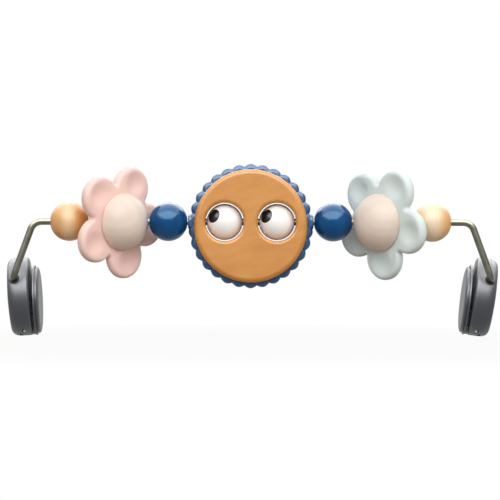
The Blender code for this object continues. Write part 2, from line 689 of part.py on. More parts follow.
def disc_frame(side):
    """Place a clip's disc from its swivel axis: X upwards, Z towards the seat's middle."""
    turn = Matrix(((0, 0, -side), (0, side, 0), (1, 0, 0))).to_4x4()
    shift = Vector((-side * CLIP_SOCKET_DEPTH, 0, -CLIP_SOCKET_RISE))
    return Matrix.Translation(shift) @ turn


def drum_profile():
    """Give the profile of a clip's drum, open at its outer side for the cover."""
    radius = CLIP_RADIUS
    corner = CLIP_CORNER_RADIUS
    seat = CLIP_COVER_RADIUS
    profile = [(0, 0)]
    profile += arc_points((radius - corner, -corner), corner, math.pi / 2, 0, 2)
    angles = [math.pi / 2 * step / CLIP_EDGE_STEPS for step in range(CLIP_EDGE_STEPS + 1)]
    for angle in angles:
        inset = CLIP_RIM_TAPER * (1 - math.cos(angle))
        profile.append((radius - inset, -CLIP_RIM_STRAIGHT - CLIP_TAPER_DEPTH * math.sin(angle)))
    profile += [(seat, -CLIP_DRUM_DEPTH), (seat, -CLIP_COVER_SEAT_DEPTH)]
    profile.append((0, -CLIP_COVER_SEAT_DEPTH))
    return profile


def cavity_outline(front):
    """List the outline of a drum's hollow, which leaves the wire's block and the hinge's block."""
    radius = CLIP_COVER_RADIUS - CLIP_COVER_LEDGE
    bottom = HINGE_ROOM + HINGE_BLOCK_HEIGHT - HINGE_DROP
    block_bottom = CLIP_SOCKET_RISE - BORE_RADIUS - CLIP_SOCKET_WALL
    block_end = BAR_FORWARD - RETAINER_PLACE + GAP
    bottom_turn = math.acos(bottom / radius)
    rear_turn = math.asin(block_end / radius)
    front_turn = math.acos(block_bottom / radius)
    outline = arc_points((0, 0), radius, rear_turn, -bottom_turn, BEAD_RINGS)
    outline += arc_points((0, 0), radius, bottom_turn, front_turn, CLIP_EDGE_STEPS)
    outline.append((block_bottom, block_end))
    return [(up, front * across) for up, across in outline]


def cover_profile():
    """Give the profile of a clip's domed outer cover."""
    radius = CLIP_COVER_RADIUS - GAP
    floor = -CLIP_COVER_SEAT_DEPTH - GAP
    curve_radius = (radius**2 + CLIP_COVER_BULGE**2) / (2 * CLIP_COVER_BULGE)
    reach = math.asin(radius / curve_radius)
    centre = (0, -CLIP_DRUM_DEPTH - CLIP_COVER_BULGE + curve_radius)
    dome = arc_points(centre, curve_radius, reach - math.pi / 2, -math.pi / 2, CLIP_EDGE_STEPS)
    dome[-1] = (0, dome[-1][1])
    return [(0, floor), (radius, floor), *dome]


def notch_mesh(name, across_from, across_to, reach):
    """Make the cutter that opens a drum's bottom for the hinge between two widths."""
    low = (-CLIP_RADIUS - OVERRUN, across_from, -HINGE_DEPTH - reach)
    high = (HINGE_ROOM - HINGE_DROP, across_to, OVERRUN)
    return box_mesh(name, low, high)


def jaw_profile():
    """Give the profile of a jaw, with its two ridges, from its slot face inwards."""
    radius = JAW_RADIUS
    ridge, groove = JAW_RIDGE_WIDTH, JAW_GROOVE_WIDTH
    corner = CLIP_CORNER_RADIUS / 2
    inner = radius - JAW_GROOVE_DEPTH
    second = radius - JAW_RIDGE_STEP
    rim = second - JAW_EDGE_WIDTH
    shoulder = JAW_THICKNESS - JAW_EDGE_DEPTH
    profile = [(0, 0), (radius - corner, 0), (radius, corner), (radius, ridge)]
    profile += [(inner, ridge), (inner, ridge + groove), (second, ridge + groove)]
    for step in range(CLIP_EDGE_STEPS + 1):
        angle = math.pi / 2 * step / CLIP_EDGE_STEPS
        profile.append((rim + JAW_EDGE_WIDTH * math.cos(angle), shoulder + JAW_EDGE_DEPTH * math.sin(angle)))
    profile.append((0, JAW_THICKNESS))
    return profile


def arm_mesh(name, facing):
    """Make one arm of a jaw, from round the hinge pin to inside the plate."""
    radius = HINGE_KNUCKLE_RADIUS
    start = HINGE_LUG_WIDTH / 2 + GAP
    reach = JAW_DEPTH + JAW_RIDGE_WIDTH
    outline = arc_points((0, 0), radius, 0, -math.pi, HINGE_ARM_STEPS)
    outline += [(-radius, reach), (radius, reach)]
    across = Matrix.Rotation(math.pi / 2, 4, "X")
    return prism_mesh(name, outline, -facing * start, -facing * (start + HINGE_ARM_WIDTH), across)


def build_spring(name, materials, place, swivel):
    """Build the coil round the hinge pin as a plain sleeve, with a leg to either side."""
    thick = SPRING_WIRE_DIAMETER
    outer = SPRING_DIAMETER / 2
    half = SPRING_WIDTH / 2
    profile = ring_profile(HINGE_PIN_RADIUS + GAP, outer, -half, half)
    mesh = turned_mesh(name, profile, ALONG_Y, WIRE_SIDES)
    spring = add_object(name, mesh, materials["steel"], place, swivel)
    legs = (
        ((outer - thick, thick, GAP - SPRING_POCKET_REACH), (outer - GAP / 2, 2 * thick, 0)),
        ((thick - outer, -2 * thick, 0), (GAP / 2 - outer, -thick, JAW_DEPTH - GAP)),
    )
    for low, high in legs:
        combine(spring, box_mesh(f"{name}_leg", low, high), "UNION")


def cut_drum(drum, front, pin_place, pad_place):
    """Cut a drum's hollow, hinge notches, wire bore and pad seat."""
    hollow = prism_mesh("drum_hollow", cavity_outline(front), -CLIP_COVER_SEAT_DEPTH - OVERRUN,
                        -CLIP_FLOOR_THICKNESS)
    combine(drum, hollow)
    lug = HINGE_LUG_WIDTH / 2
    cheek = lug + HINGE_ARM_WIDTH + 2 * GAP
    spring_half = SPRING_WIDTH / 2 + GAP
    combine(drum, notch_mesh("hinge_notch", lug, cheek, HINGE_ROOM))
    combine(drum, notch_mesh("hinge_notch", -cheek, -lug, HINGE_ROOM))
    combine(drum, notch_mesh("spring_pocket", -spring_half, spring_half, SPRING_POCKET_REACH))
    pin_hole = rod_profile(HINGE_PIN_RADIUS + GAP, -CLIP_RADIUS, CLIP_RADIUS)
    combine(drum, turned_mesh("pin_hole", pin_hole, ALONG_Y, WIRE_SIDES), place=pin_place)
    bore = Matrix.Translation((CLIP_SOCKET_RISE, 0, -CLIP_SOCKET_DEPTH))
    block_end = BAR_FORWARD - RETAINER_PLACE
    rim_front = SOCKET_RIM_BACKSET - CLIP_SOCKET_RIM_DEPTH
    for radius, start in ((BORE_RADIUS, block_end), (CLIP_SOCKET_RIM_RADIUS, rim_front)):
        spans = sorted((front * start, front * CLIP_DIAMETER))
        tool = turned_mesh("wire_bore", rod_profile(radius, *spans), ALONG_Y, WIRE_SIDES * 2)
        combine(drum, tool, place=bore)
    combine(drum, turned_mesh("pad_seat", pad_seat_profile(), sides=PAD_SIDES), place=pad_place)


def pad_profile():
    """Give the profile of a grip pad, its face at height zero."""
    return rod_profile(PAD_RADIUS, -PAD_THICKNESS, 0)


def pad_seat_profile():
    """Give the profile of the shallow seat that a grip pad is let into."""
    return rod_profile(PAD_RADIUS + GAP, -PAD_THICKNESS - GAP, OVERRUN)


def build_jaw(name, hinge, materials):
    """Build one jaw on its hinge: a round plate with two arms at its foot, and its pad."""
    plate_place = Matrix.Translation((HINGE_DROP - JAW_DROP, 0, JAW_DEPTH))
    mesh = turned_mesh(f"{name}_jaw", jaw_profile(), plate_place, CLIP_SIDES)
    jaw = add_object(f"{name}_jaw", mesh, materials["grey"], None, hinge)
    for facing in (1, -1):
        combine(jaw, arm_mesh("jaw_arm", facing), "UNION")
    arm_bore = rod_profile(HINGE_PIN_RADIUS + BORE_CLEARANCE, -CLIP_RADIUS, CLIP_RADIUS)
    combine(jaw, turned_mesh("arm_bore", arm_bore, ALONG_Y, WIRE_SIDES))
    trim = rod_profile(CLIP_RADIUS, -CLIP_RADIUS, CLIP_RADIUS)
    trim_place = Matrix.Translation((HINGE_DROP, 0, 0))
    combine(jaw, turned_mesh("jaw_trim", trim, sides=2 * CLIP_SIDES), "INTERSECT", trim_place)
    pad_place = Matrix.Translation((HINGE_DROP + PAD_RISE, 0, JAW_DEPTH))
    pad_place = pad_place @ Matrix.Rotation(math.pi, 4, "X")
    combine(jaw, turned_mesh("jaw_pad_seat", pad_seat_profile(), sides=PAD_SIDES), place=pad_place)
    mesh = turned_mesh(f"{name}_inner_pad", pad_profile(), sides=PAD_SIDES)
    add_object(f"{name}_inner_pad", mesh, materials["pad"], pad_place, hinge)


def build_clip(name, side, tilt, materials):
    """Build one clip: its drum with cover and pad, and its sprung jaw."""
    swivel_place = Matrix.Translation((side * SOCKET_SPAN, 0, CLIP_SOCKET_RISE))
    swivel = add_empty(f"{name}_clip_swivel", swivel_place @ Matrix.Rotation(tilt, 4, "Y"))
    frame = disc_frame(side)
    pin_place = Matrix.Translation((-HINGE_DROP, 0, -HINGE_DEPTH))
    pad_place = Matrix.Translation((PAD_RISE, 0, 0))

    mesh = turned_mesh(f"{name}_clip_drum", drum_profile(), sides=CLIP_SIDES)
    drum = add_object(f"{name}_clip_drum", mesh, materials["grey"], frame, swivel)
    cut_drum(drum, -side, pin_place, pad_place)
    mesh = turned_mesh(f"{name}_clip_cover", cover_profile(), sides=CLIP_SIDES)
    add_object(f"{name}_clip_cover", mesh, materials["grey"], frame, swivel)
    mesh = turned_mesh(f"{name}_outer_pad", pad_profile(), sides=PAD_SIDES)
    add_object(f"{name}_outer_pad", mesh, materials["pad"], frame @ pad_place, swivel)

    reach = HINGE_LUG_WIDTH / 2 + GAP + HINGE_ARM_WIDTH
    pin = rod_profile(HINGE_PIN_RADIUS, -reach, reach)
    mesh = turned_mesh(f"{name}_hinge_pin", pin, ALONG_Y, WIRE_SIDES)
    add_object(f"{name}_hinge_pin", mesh, materials["steel"], frame @ pin_place, swivel)
    build_spring(f"{name}_jaw_spring", materials, frame @ pin_place, swivel)
    hinge_place = frame @ pin_place @ Matrix.Rotation(-JAW_REST_OPENING, 4, "Y")
    hinge = add_empty(f"{name}_jaw_hinge", hinge_place, swivel)
    build_jaw(name, hinge, materials)


def main():
    """Build the whole toy bar."""
    for thing in list(bpy.data.objects):
        bpy.data.objects.remove(thing)
    materials = make_materials()
    build_wire(materials)
    build_beads(materials)
    pink, mint = materials["pink"], materials["mint"]
    build_flower("pink_flower", SIDES["left"], PINK_FIRST_PETAL, pink, materials)
    build_flower("mint_flower", SIDES["right"], MINT_FIRST_PETAL, mint, materials)
    build_face(materials)
    build_eyes(materials)
    build_clip("left", SIDES["left"], LEFT_CLIP_TILT, materials)
    build_clip("right", SIDES["right"], RIGHT_CLIP_TILT, materials)


if __name__ == "__main__":
    main()
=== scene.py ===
"""Bouncer toy bar: the finished look of every piece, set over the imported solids.

Metres, +Z up, +X to the right and -Y towards the viewer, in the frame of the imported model.
"""

from __future__ import annotations

import logging
import math
from collections.abc import Mapping, Sequence
from dataclasses import dataclass, field
from enum import Enum, IntEnum

import bmesh
import bpy
from mathutils import Matrix, Vector

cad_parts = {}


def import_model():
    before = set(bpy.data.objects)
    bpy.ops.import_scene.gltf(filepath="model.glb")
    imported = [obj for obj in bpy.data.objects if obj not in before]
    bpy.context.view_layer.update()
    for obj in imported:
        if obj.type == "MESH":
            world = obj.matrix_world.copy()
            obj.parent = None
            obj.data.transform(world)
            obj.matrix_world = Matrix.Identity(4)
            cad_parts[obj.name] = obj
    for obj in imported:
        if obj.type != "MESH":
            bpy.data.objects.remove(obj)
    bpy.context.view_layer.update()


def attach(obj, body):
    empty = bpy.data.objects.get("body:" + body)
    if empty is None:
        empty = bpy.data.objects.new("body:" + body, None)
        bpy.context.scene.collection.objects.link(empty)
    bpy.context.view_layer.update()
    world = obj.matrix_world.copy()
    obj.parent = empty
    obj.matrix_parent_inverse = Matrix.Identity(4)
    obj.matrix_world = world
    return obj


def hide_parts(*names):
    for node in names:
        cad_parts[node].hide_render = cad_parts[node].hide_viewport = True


LOG = logging.getLogger("toy_bar")

Colour = tuple[float, float, float]
Point = tuple[float, float]

# Clearances: between pieces that touch, round a bore, and of a cutter past its solid
GAP = 0.0003
BORE_CLEARANCE = 0.00045
OVERRUN = 0.004

# Distances under which points are welded: of one mesh, and of copies side by side
WELD_DISTANCE = 1e-7
COPY_WELD_DISTANCE = 2e-6

# Sizes that more than one sub-assembly uses
WIRE_DIAMETER = 0.0062
WIRE_RADIUS = WIRE_DIAMETER / 2
BORE_RADIUS = WIRE_RADIUS + BORE_CLEARANCE
BAR_FORWARD = 0.041095
BAR_CENTRE = Vector((0, -BAR_FORWARD, 0.0686))
ROW_SHIFT = -0.0015
SOCKET_SPAN = 0.215544
RETAINER_PLACE = 0.037095
EYE_SPAN = 0.023495

# Angles, and turns of a piece that was made along Z
ORIGIN = (0.0, 0.0, 0.0)
QUARTER = math.pi / 2
SMOOTH_ANGLE = math.radians(32)
AREA_WEIGHT = 90
ALONG_X = Matrix.Rotation(QUARTER, 4, "Y")
ALONG_Y = Matrix.Rotation(-QUARTER, 4, "X")
TO_VIEWER = Matrix.Rotation(QUARTER, 4, "X")
TURNED_OVER = Matrix.Rotation(math.pi, 4, "X")


class Side(Enum):
    """The two ends of the bar."""

    LEFT = -1
    RIGHT = 1

    @property
    def label(self) -> str:
        """The side's word in piece names."""
        return self.name.lower()


class Cut(Enum):
    """What a tool does to a solid."""

    REMOVE = "DIFFERENCE"
    JOIN = "UNION"
    KEEP = "INTERSECT"


class Steps(IntEnum):
    """Steps round the axis of a turned piece, by its size."""

    PIN = 32
    BORE = 48
    POCKET = 64
    BALL = 96
    DOME = 112
    CLIP = 144
    FACE = 160


def linear(colour: Colour) -> Colour:
    """Turn a screen colour of 0 to 255 into the linear values that shaders take.

    Args:
        colour: Red, green and blue, 0 to 255.

    Returns:
        The same colour in linear values, 0 to 1.
    """
    shares = [part / 255 for part in colour]
    return tuple(s / 12.92 if s <= 0.04045 else ((s + 0.055) / 1.055) ** 2.4 for s in shares)


# Node trees


@dataclass(frozen=True)
class Signal:
    """A node's output that takes part in sums as a number does."""

    tree: NodeTree
    socket: bpy.types.NodeSocket

    def maths(self, operation: str, *values: Signal | float) -> Signal:
        """Add a Math node.

        Args:
            operation: The node's operation.
            values: Its inputs, in order.

        Returns:
            The node's output.
        """
        return self.tree.node("ShaderNodeMath", {"operation": operation}, dict(enumerate(values)))

    def __add__(self, other: Signal | float) -> Signal:
        """Add."""
        return self.maths("ADD", self, other)

    def __radd__(self, other: float) -> Signal:
        """Add to a number."""
        return self.maths("ADD", other, self)

    def __sub__(self, other: Signal | float) -> Signal:
        """Subtract."""
        return self.maths("SUBTRACT", self, other)

    def __rsub__(self, other: float) -> Signal:
        """Subtract from a number."""
        return self.maths("SUBTRACT", other, self)

    def __mul__(self, other: Signal | float) -> Signal:
        """Multiply."""
        return self.maths("MULTIPLY", self, other)

    def __rmul__(self, other: float) -> Signal:
        """Multiply a number."""
        return self.maths("MULTIPLY", other, self)

    def __pow__(self, other: float) -> Signal:
        """Raise to a power."""
        return self.maths("POWER", self, other)

    def sine(self) -> Signal:
        """Take the sine."""
        return self.maths("SINE", self)

    def step(self, low: float, high: float) -> Signal:
        """Rise smoothly from 0 to 1 between two values.

        Args:
            low: Where the rise starts.
            high: Where it ends.

        Returns:
            The eased value.
        """
        values = {"Value": self, "From Min": low, "From Max": high}
        settings = {"interpolation_type": "SMOOTHSTEP"}
        return self.tree.node("ShaderNodeMapRange", settings, values)


class NodeTree:
    """A node tree under construction, for shaders and geometry alike."""

    def __init__(self, tree: bpy.types.NodeTree) -> None:
        """Wrap a tree.

        Args:
            tree: The tree to add nodes to.
        """
        self.tree = tree

    def node(
        self,
        kind: str,
        settings: Mapping[str, object] | None = None,
        values: Mapping[int | str, object] | None = None,
        output: int | str = 0,
    ) -> Signal:
        """Add a node.

        Args:
            kind: The node's type name.
            settings: Its own properties, set before its sockets.
            values: Constants or signals for its sockets, by name or place.
            output: The output that is wanted.

        Returns:
            The wanted output.
        """
        made = self.tree.nodes.new(kind)
        for name, value in (settings or {}).items():
            setattr(made, name, value)
        for key, value in (values or {}).items():
            if isinstance(value, Signal):
                self.tree.links.new(value.socket, made.inputs[key])
            else:
                made.inputs[key].default_value = value
        return Signal(self, made.outputs[output])

    def mix(self, factor: Signal | float, first: object, second: object) -> Signal:
        """Blend two colours.

        Args:
            factor: Share of the second colour.
            first: Colour or signal at 0.
            second: Colour or signal at 1.

        Returns:
            The blended colour.
        """
        pair = [(*c, 1) if isinstance(c, tuple) else c for c in (first, second)]
        values = {0: factor, 6: pair[0], 7: pair[1]}
        return self.node("ShaderNodeMix", {"data_type": "RGBA"}, values, 2)

    def noise(
        self, place: Signal, scale: float, detail: float = 2, roughness: float = 0.5
    ) -> Signal:
        """Add a noise pattern.

        Args:
            place: Where to read it.
            scale: Features to a metre.
            detail: Number of finer octaves.
            roughness: Strength of the finer octaves.

        Returns:
            A value about 0.5.
        """
        values = {"Vector": place, "Scale": scale, "Detail": detail, "Roughness": roughness}
        return self.node("ShaderNodeTexNoise", None, values)

    def scaled(self, place: Signal, factors: Sequence[float]) -> Signal:
        """Stretch a place along its axes.

        Args:
            place: The vector.
            factors: One factor to an axis.

        Returns:
            The stretched vector.
        """
        values = {0: place, 1: tuple(factors)}
        return self.node("ShaderNodeVectorMath", {"operation": "MULTIPLY"}, values)

    def axes(self, place: Signal) -> tuple[Signal, Signal, Signal]:
        """Split a vector.

        Args:
            place: The vector.

        Returns:
            Its three numbers.
        """
        first = self.node("ShaderNodeSeparateXYZ", None, {0: place})
        outputs = first.socket.node.outputs
        return first, Signal(self, outputs[1]), Signal(self, outputs[2])


class Shader(NodeTree):
    """A material's tree, with one Principled shader."""

    def __init__(self, name: str, fixed: Mapping[str, object]) -> None:
        """Start a material.

        Args:
            name: The material's name.
            fixed: Values that are the same all over the surface.
        """
        self.material = bpy.data.materials.new(name)
        self.material.use_nodes = True
        super().__init__(self.material.node_tree)
        self.shader = self.tree.nodes["Principled BSDF"]
        for key, value in fixed.items():
            self.shader.inputs[key].default_value = value

    def place(self, centre: Sequence[float] = ORIGIN, turn: Sequence[float] = ORIGIN) -> Signal:
        """Read the object's coordinates about a middle.

        Args:
            centre: The pattern's middle.
            turn: The pattern's turn, in radians about each axis.

        Returns:
            The place in the pattern.
        """
        coordinates = self.node("ShaderNodeTexCoord", output="Object")
        values = {"Vector": coordinates, "Location": tuple(centre), "Rotation": tuple(turn)}
        return self.node("ShaderNodeMapping", {"vector_type": "TEXTURE"}, values)

    def finish(
        self, colour: Signal, roughness: Signal, height: Signal, depth: float
    ) -> bpy.types.Material:
        """Join the patterns to the shader.

        Args:
            colour: The surface's colour.
            roughness: Its roughness.
            height: Its relief, about 0 to 1.
            depth: How deep the relief is, in metres.

        Returns:
            The finished material.
        """
        values = {"Height": height, "Distance": depth, "Strength": 1.0}
        normal = self.node("ShaderNodeBump", None, values)
        pairs = {"Base Color": colour, "Roughness": roughness, "Normal": normal}
        for key, value in pairs.items():
            self.tree.links.new(value.socket, self.shader.inputs[key])
        return self.material


# Finishes


@dataclass(frozen=True)
class WoodFinish:
    """Turned wood under a clear or thin coloured lacquer."""

    name: str
    pale: Colour
    mid: Colour
    dark: Colour
    centre: Sequence[float] = ORIGIN
    turn: Sequence[float] = ORIGIN
    heart: Point = (0.02, 0.05)
    ring_count: float = 260.0
    ring_strength: float = 0.5
    blotch_strength: float = 0.5
    fibre_strength: float = 0.35
    roughness: float = 0.42
    coat: float = 0.25
    relief: float = 0.00004
    gloss: float = 0.32

    def material(self) -> bpy.types.Material:
        """Make the material: growth rings, blotches and fine fibres along the pattern's Z.

        Returns:
            The material.
        """
        fixed = {"Coat Weight": self.coat, "Coat Roughness": 0.25}
        shader = Shader(self.name, {**fixed, "Specular IOR Level": self.gloss})
        place = shader.place(self.centre, self.turn)
        across, through, _ = shader.axes(place)
        drift = shader.noise(shader.scaled(place, (1, 1, 0.25)), 38)
        off_x, off_y = across + self.heart[0], through + self.heart[1]
        reach = (off_x * off_x + off_y * off_y) ** 0.5
        rings = (reach * self.ring_count * math.tau + drift * 9).sine() * 0.5 + 0.5
        blotch = shader.noise(shader.scaled(place, (1, 1, 0.4)), 60, 3, 0.6)
        fibres = shader.noise(shader.scaled(place, (1, 1, 0.045)), 2600, 3, 0.7)
        pores = shader.noise(shader.scaled(place, (1, 1, 0.09)), 900).step(0.58, 0.7)
        dark = linear(self.dark)
        colour = shader.mix(rings * self.ring_strength, linear(self.mid), linear(self.pale))
        colour = shader.mix(blotch.step(0.38, 0.68) * self.blotch_strength, colour, dark)
        colour = shader.mix(fibres.step(0.45, 0.75) * self.fibre_strength, colour, dark)
        wear = shader.noise(place, 140, 3).step(0.55, 0.8)
        roughness = self.roughness + fibres * 0.12 + wear * 0.06 - 0.06
        height = fibres * 0.5 - pores * 0.6 + rings * 0.15 + 0.5
        return shader.finish(colour, roughness, height, self.relief)


@dataclass(frozen=True)
class SapwoodFinish:
    """A small wooden bead whose grain runs upright, with a pale band of sapwood."""

    name: str
    pale: Colour
    mid: Colour
    dark: Colour
    centre: Sequence[float]
    band_from: float
    band_to: float
    seed: float = 0.0
    gloss: float = 0.18
    line_density: float = 3300.0
    relief: float = 0.00004

    def material(self) -> bpy.types.Material:
        """Make the material: upright fibres, a pale band and a deeper heart to one side.

        Returns:
            The material.
        """
        shader = Shader(self.name, {"Specular IOR Level": self.gloss})
        place = shader.place(self.centre)
        across, _, _ = shader.axes(place)
        drift = shader.noise(shader.scaled(place, (1, 1, 0.2)), 110 + self.seed)
        seat = across + drift * 0.005 - 0.0025
        band = seat.step(self.band_from - 0.005, self.band_from + 0.004)
        band = band * (1 - seat.step(self.band_to - 0.004, self.band_to + 0.006))
        heart = seat.step(self.band_to - 0.001, self.band_to + 0.011)
        lines = (seat * self.line_density + drift * 6).sine() * 0.5 + 0.5
        fibres = shader.noise(shader.scaled(place, (1, 1, 0.05)), 2400, 3, 0.7)
        colour = shader.mix(band, linear(self.mid), linear(self.pale))
        for share in (heart * 0.85, lines * 0.16, fibres.step(0.45, 0.75) * 0.22):
            colour = shader.mix(share, colour, linear(self.dark))
        roughness = 0.34 + fibres * 0.14
        return shader.finish(colour, roughness, fibres * 0.6 + lines * 0.2, self.relief)


@dataclass(frozen=True)
class LacquerFinish:
    """Smooth coloured lacquer, with the faintest orange peel and handling wear."""

    name: str
    colour: Colour
    deep: Colour
    roughness: float = 0.3
    coat: float = 0.4
    gloss: float = 0.5
    tint: Colour = (1, 1, 1)
    relief: float = 0.00001

    def material(self) -> bpy.types.Material:
        """Make the material.

        Returns:
            The material.
        """
        fixed = {"Coat Weight": self.coat, "Coat Roughness": 0.12}
        gloss = {"Specular IOR Level": self.gloss, "Specular Tint": (*self.tint, 1)}
        shader = Shader(self.name, {**fixed, **gloss})
        place = shader.place()
        cloud = shader.noise(place, 70, 3)
        peel = shader.noise(place, 950)
        rub = shader.noise(place, 210, 4, 0.65).step(0.56, 0.8)
        colour = shader.mix(cloud.step(0.35, 0.7), linear(self.colour), linear(self.deep))
        roughness = self.roughness + rub * 0.12 + cloud * 0.05
        return shader.finish(colour, roughness, peel + rub * 0.3, self.relief)


@dataclass(frozen=True)
class PlasticFinish:
    """Moulded plastic with a fine eroded texture, lighter at its convex edges: partly edge wear,
    partly a painted highlight where the edges catch the light.
    """

    name: str
    colour: Colour
    deep: Colour
    # The lighter edge colour: worn edges together with a painted highlight of edges catching the
    # light.
    rubbed: Colour
    roughness: float = 0.5
    rub_strength: float = 0.3
    gloss: float = 0.45
    texture: float = 1500.0
    relief: float = 0.00001

    def material(self) -> bpy.types.Material:
        """Make the material.

        Returns:
            The material.
        """
        shader = Shader(self.name, {"Specular IOR Level": self.gloss})
        place = shader.place()
        flow = shader.noise(shader.scaled(place, (1, 1, 0.5)), 45, 3)
        erosion = shader.noise(place, self.texture, 3, 0.65)
        scuffs = shader.noise(shader.scaled(place, (1, 0.3, 1)), 420, 3, 0.7).step(0.6, 0.8)
        # Convex edges by pointiness, lightened below: edge wear plus a painted highlight where the
        # edges catch the light; the scuffs are wear.
        edge_wear_and_highlight_mask = shader.node("ShaderNodeNewGeometry", output="Pointiness").step(0.505, 0.56)
        colour = shader.mix(flow.step(0.35, 0.7) * 0.8, linear(self.colour), linear(self.deep))
        rub = edge_wear_and_highlight_mask * self.rub_strength + scuffs * 0.12
        colour = shader.mix(rub, colour, linear(self.rubbed))
        roughness = self.roughness + erosion * 0.1 - scuffs * 0.08
        return shader.finish(colour, roughness, erosion + scuffs * 0.3, self.relief)


@dataclass(frozen=True)
class MetalFinish:
    """Drawn or turned steel with a satin plating."""

    name: str
    colour: Colour
    deep: Colour
    roughness: float = 0.36
    relief: float = 0.00002

    def material(self) -> bpy.types.Material:
        """Make the material: dull patches, drawing lines and small scratches.

        Returns:
            The material.
        """
        shader = Shader(self.name, {"Metallic": 1.0, "Specular IOR Level": 0.5})
        place = shader.place()
        patches = shader.noise(place, 90, 3)
        lines = shader.noise(place, 1800, 3, 0.7)
        marks = shader.noise(place, 500, 4, 0.7).step(0.62, 0.78)
        colour = shader.mix(patches.step(0.35, 0.7), linear(self.colour), linear(self.deep))
        colour = shader.mix(lines.step(0.4, 0.7) * 0.3, colour, linear(self.deep))
        roughness = self.roughness + patches * 0.12 + marks * 0.12 - 0.04
        return shader.finish(colour, roughness, lines + marks * 0.5, self.relief)


@dataclass(frozen=True)
class RubberFinish:
    """Soft matt rubber with a little dust in its grain."""

    name: str
    colour: Colour
    dust: Colour
    roughness: float = 0.78
    relief: float = 0.00006

    def material(self) -> bpy.types.Material:
        """Make the material.

        Returns:
            The material.
        """
        shader = Shader(self.name, {"Specular IOR Level": 0.3, "Sheen Weight": 0.15})
        place = shader.place()
        grain = shader.noise(place, 1900, 3, 0.7)
        dust = shader.noise(place, 130, 4).step(0.5, 0.75)
        colour = shader.mix(dust * 0.3 + grain * 0.1, linear(self.colour), linear(self.dust))
        return shader.finish(colour, self.roughness + grain * 0.15, grain, self.relief)


# Meshes


def arc(centre: Point, radius: float, start: float, end: float, steps: int) -> list[Point]:
    """List points along an arc, both ends included.

    Args:
        centre: The arc's centre.
        radius: Its radius.
        start: The angle of its first point.
        end: The angle of its last point.
        steps: The number of steps between them.

    Returns:
        The points.
    """
    angles = [start + (end - start) * step / steps for step in range(steps + 1)]
    return [(centre[0] + radius * math.cos(a), centre[1] + radius * math.sin(a)) for a in angles]


def mesh_from(
    name: str, builder: bmesh.types.BMesh, place: Matrix | None = None
) -> bpy.types.Mesh:
    """Weld a bmesh, point its faces outwards and turn it into a mesh.

    Args:
        name: The mesh's name.
        builder: The bmesh, which is freed.
        place: Where it goes.

    Returns:
        The mesh.
    """
    bmesh.ops.remove_doubles(builder, verts=builder.verts[:], dist=WELD_DISTANCE)
    if place is not None:
        bmesh.ops.transform(builder, matrix=place, verts=builder.verts[:])
    bmesh.ops.recalc_face_normals(builder, faces=builder.faces[:])
    mesh = bpy.data.meshes.new(name)
    builder.to_mesh(mesh)
    builder.free()
    return mesh


def turned(
    name: str, profile: Sequence[Point], place: Matrix, sides: int = Steps.BALL
) -> bpy.types.Mesh:
    """Turn a closed profile about Z.

    Args:
        name: The mesh's name.
        profile: Its (radius, height) points, in order.
        place: Where the turned piece goes.
        sides: Steps round the axis.

    Returns:
        The mesh.
    """
    builder = bmesh.new()
    rings = []
    angles = [math.tau * (step + 0.5) / sides for step in range(sides)]
    for radius, height in profile:
        around = [(radius * math.cos(a), radius * math.sin(a), height) for a in angles]
        rings.append([builder.verts.new(p) for p in (around if radius else [(0, 0, height)])])
    for number, upper in enumerate(rings):
        lower = rings[number - 1]
        flat = profile[number - 1][1] == profile[number][1]
        if len(lower) == len(upper) == 1:
            continue
        if flat and 1 in (len(lower), len(upper)):
            builder.faces.new(max(lower, upper, key=len))
            continue
        for step in range(sides):
            after = (step + 1) % sides
            corners = [lower[step % len(lower)], lower[after % len(lower)]]
            corners += [upper[after % len(upper)], upper[step % len(upper)]]
            builder.faces.new(list(dict.fromkeys(corners)))
    loose = [vertex for vertex in builder.verts if not vertex.link_faces]
    bmesh.ops.delete(builder, geom=loose, context="VERTS")
    return mesh_from(name, builder, place)


def lofted(name: str, rings: Sequence[Sequence[Vector]], place: Matrix) -> bpy.types.Mesh:
    """Skin a row of rings and close both ends.

    Args:
        name: The mesh's name.
        rings: Rings of equal length.
        place: Where the piece goes.

    Returns:
        The mesh.
    """
    builder = bmesh.new()
    rows = [[builder.verts.new(point) for point in ring] for ring in rings]
    builder.faces.new(rows[0])
    builder.faces.new(rows[-1])
    for below, above in zip(rows, rows[1:]):
        for step, corner in enumerate(below):
            builder.faces.new((below[step - 1], above[step - 1], above[step], corner))
    return mesh_from(name, builder, place)


def skin(builder: bmesh.types.BMesh, rows: Sequence[Sequence[bmesh.types.BMVert]]) -> None:
    """Fill the strips between open rows of points.

    Args:
        builder: The bmesh that has the points.
        rows: Rows of equal length.
    """
    for below, above in zip(rows, rows[1:]):
        for step in range(len(below) - 1):
            builder.faces.new((below[step], below[step + 1], above[step + 1], above[step]))


def prism(
    name: str, outline: Sequence[Point], low: float, high: float, place: Matrix
) -> bpy.types.Mesh:
    """Extrude an outline along Z.

    Args:
        name: The mesh's name.
        outline: Its (x, y) points.
        low: Where it starts.
        high: Where it ends.
        place: Where the piece goes.

    Returns:
        The mesh.
    """
    rings = [[Vector((x, y, height)) for x, y in outline] for height in (low, high)]
    return lofted(name, rings, place)


def block(name: str, low: Sequence[float], high: Sequence[float], place: Matrix) -> bpy.types.Mesh:
    """Make a block.

    Args:
        name: The mesh's name.
        low: Its lowest corner.
        high: Its highest corner.
        place: Where it goes.

    Returns:
        The mesh.
    """
    outline = [(low[0], low[1]), (high[0], low[1]), (high[0], high[1]), (low[0], high[1])]
    return prism(name, outline, low[2], high[2], place)


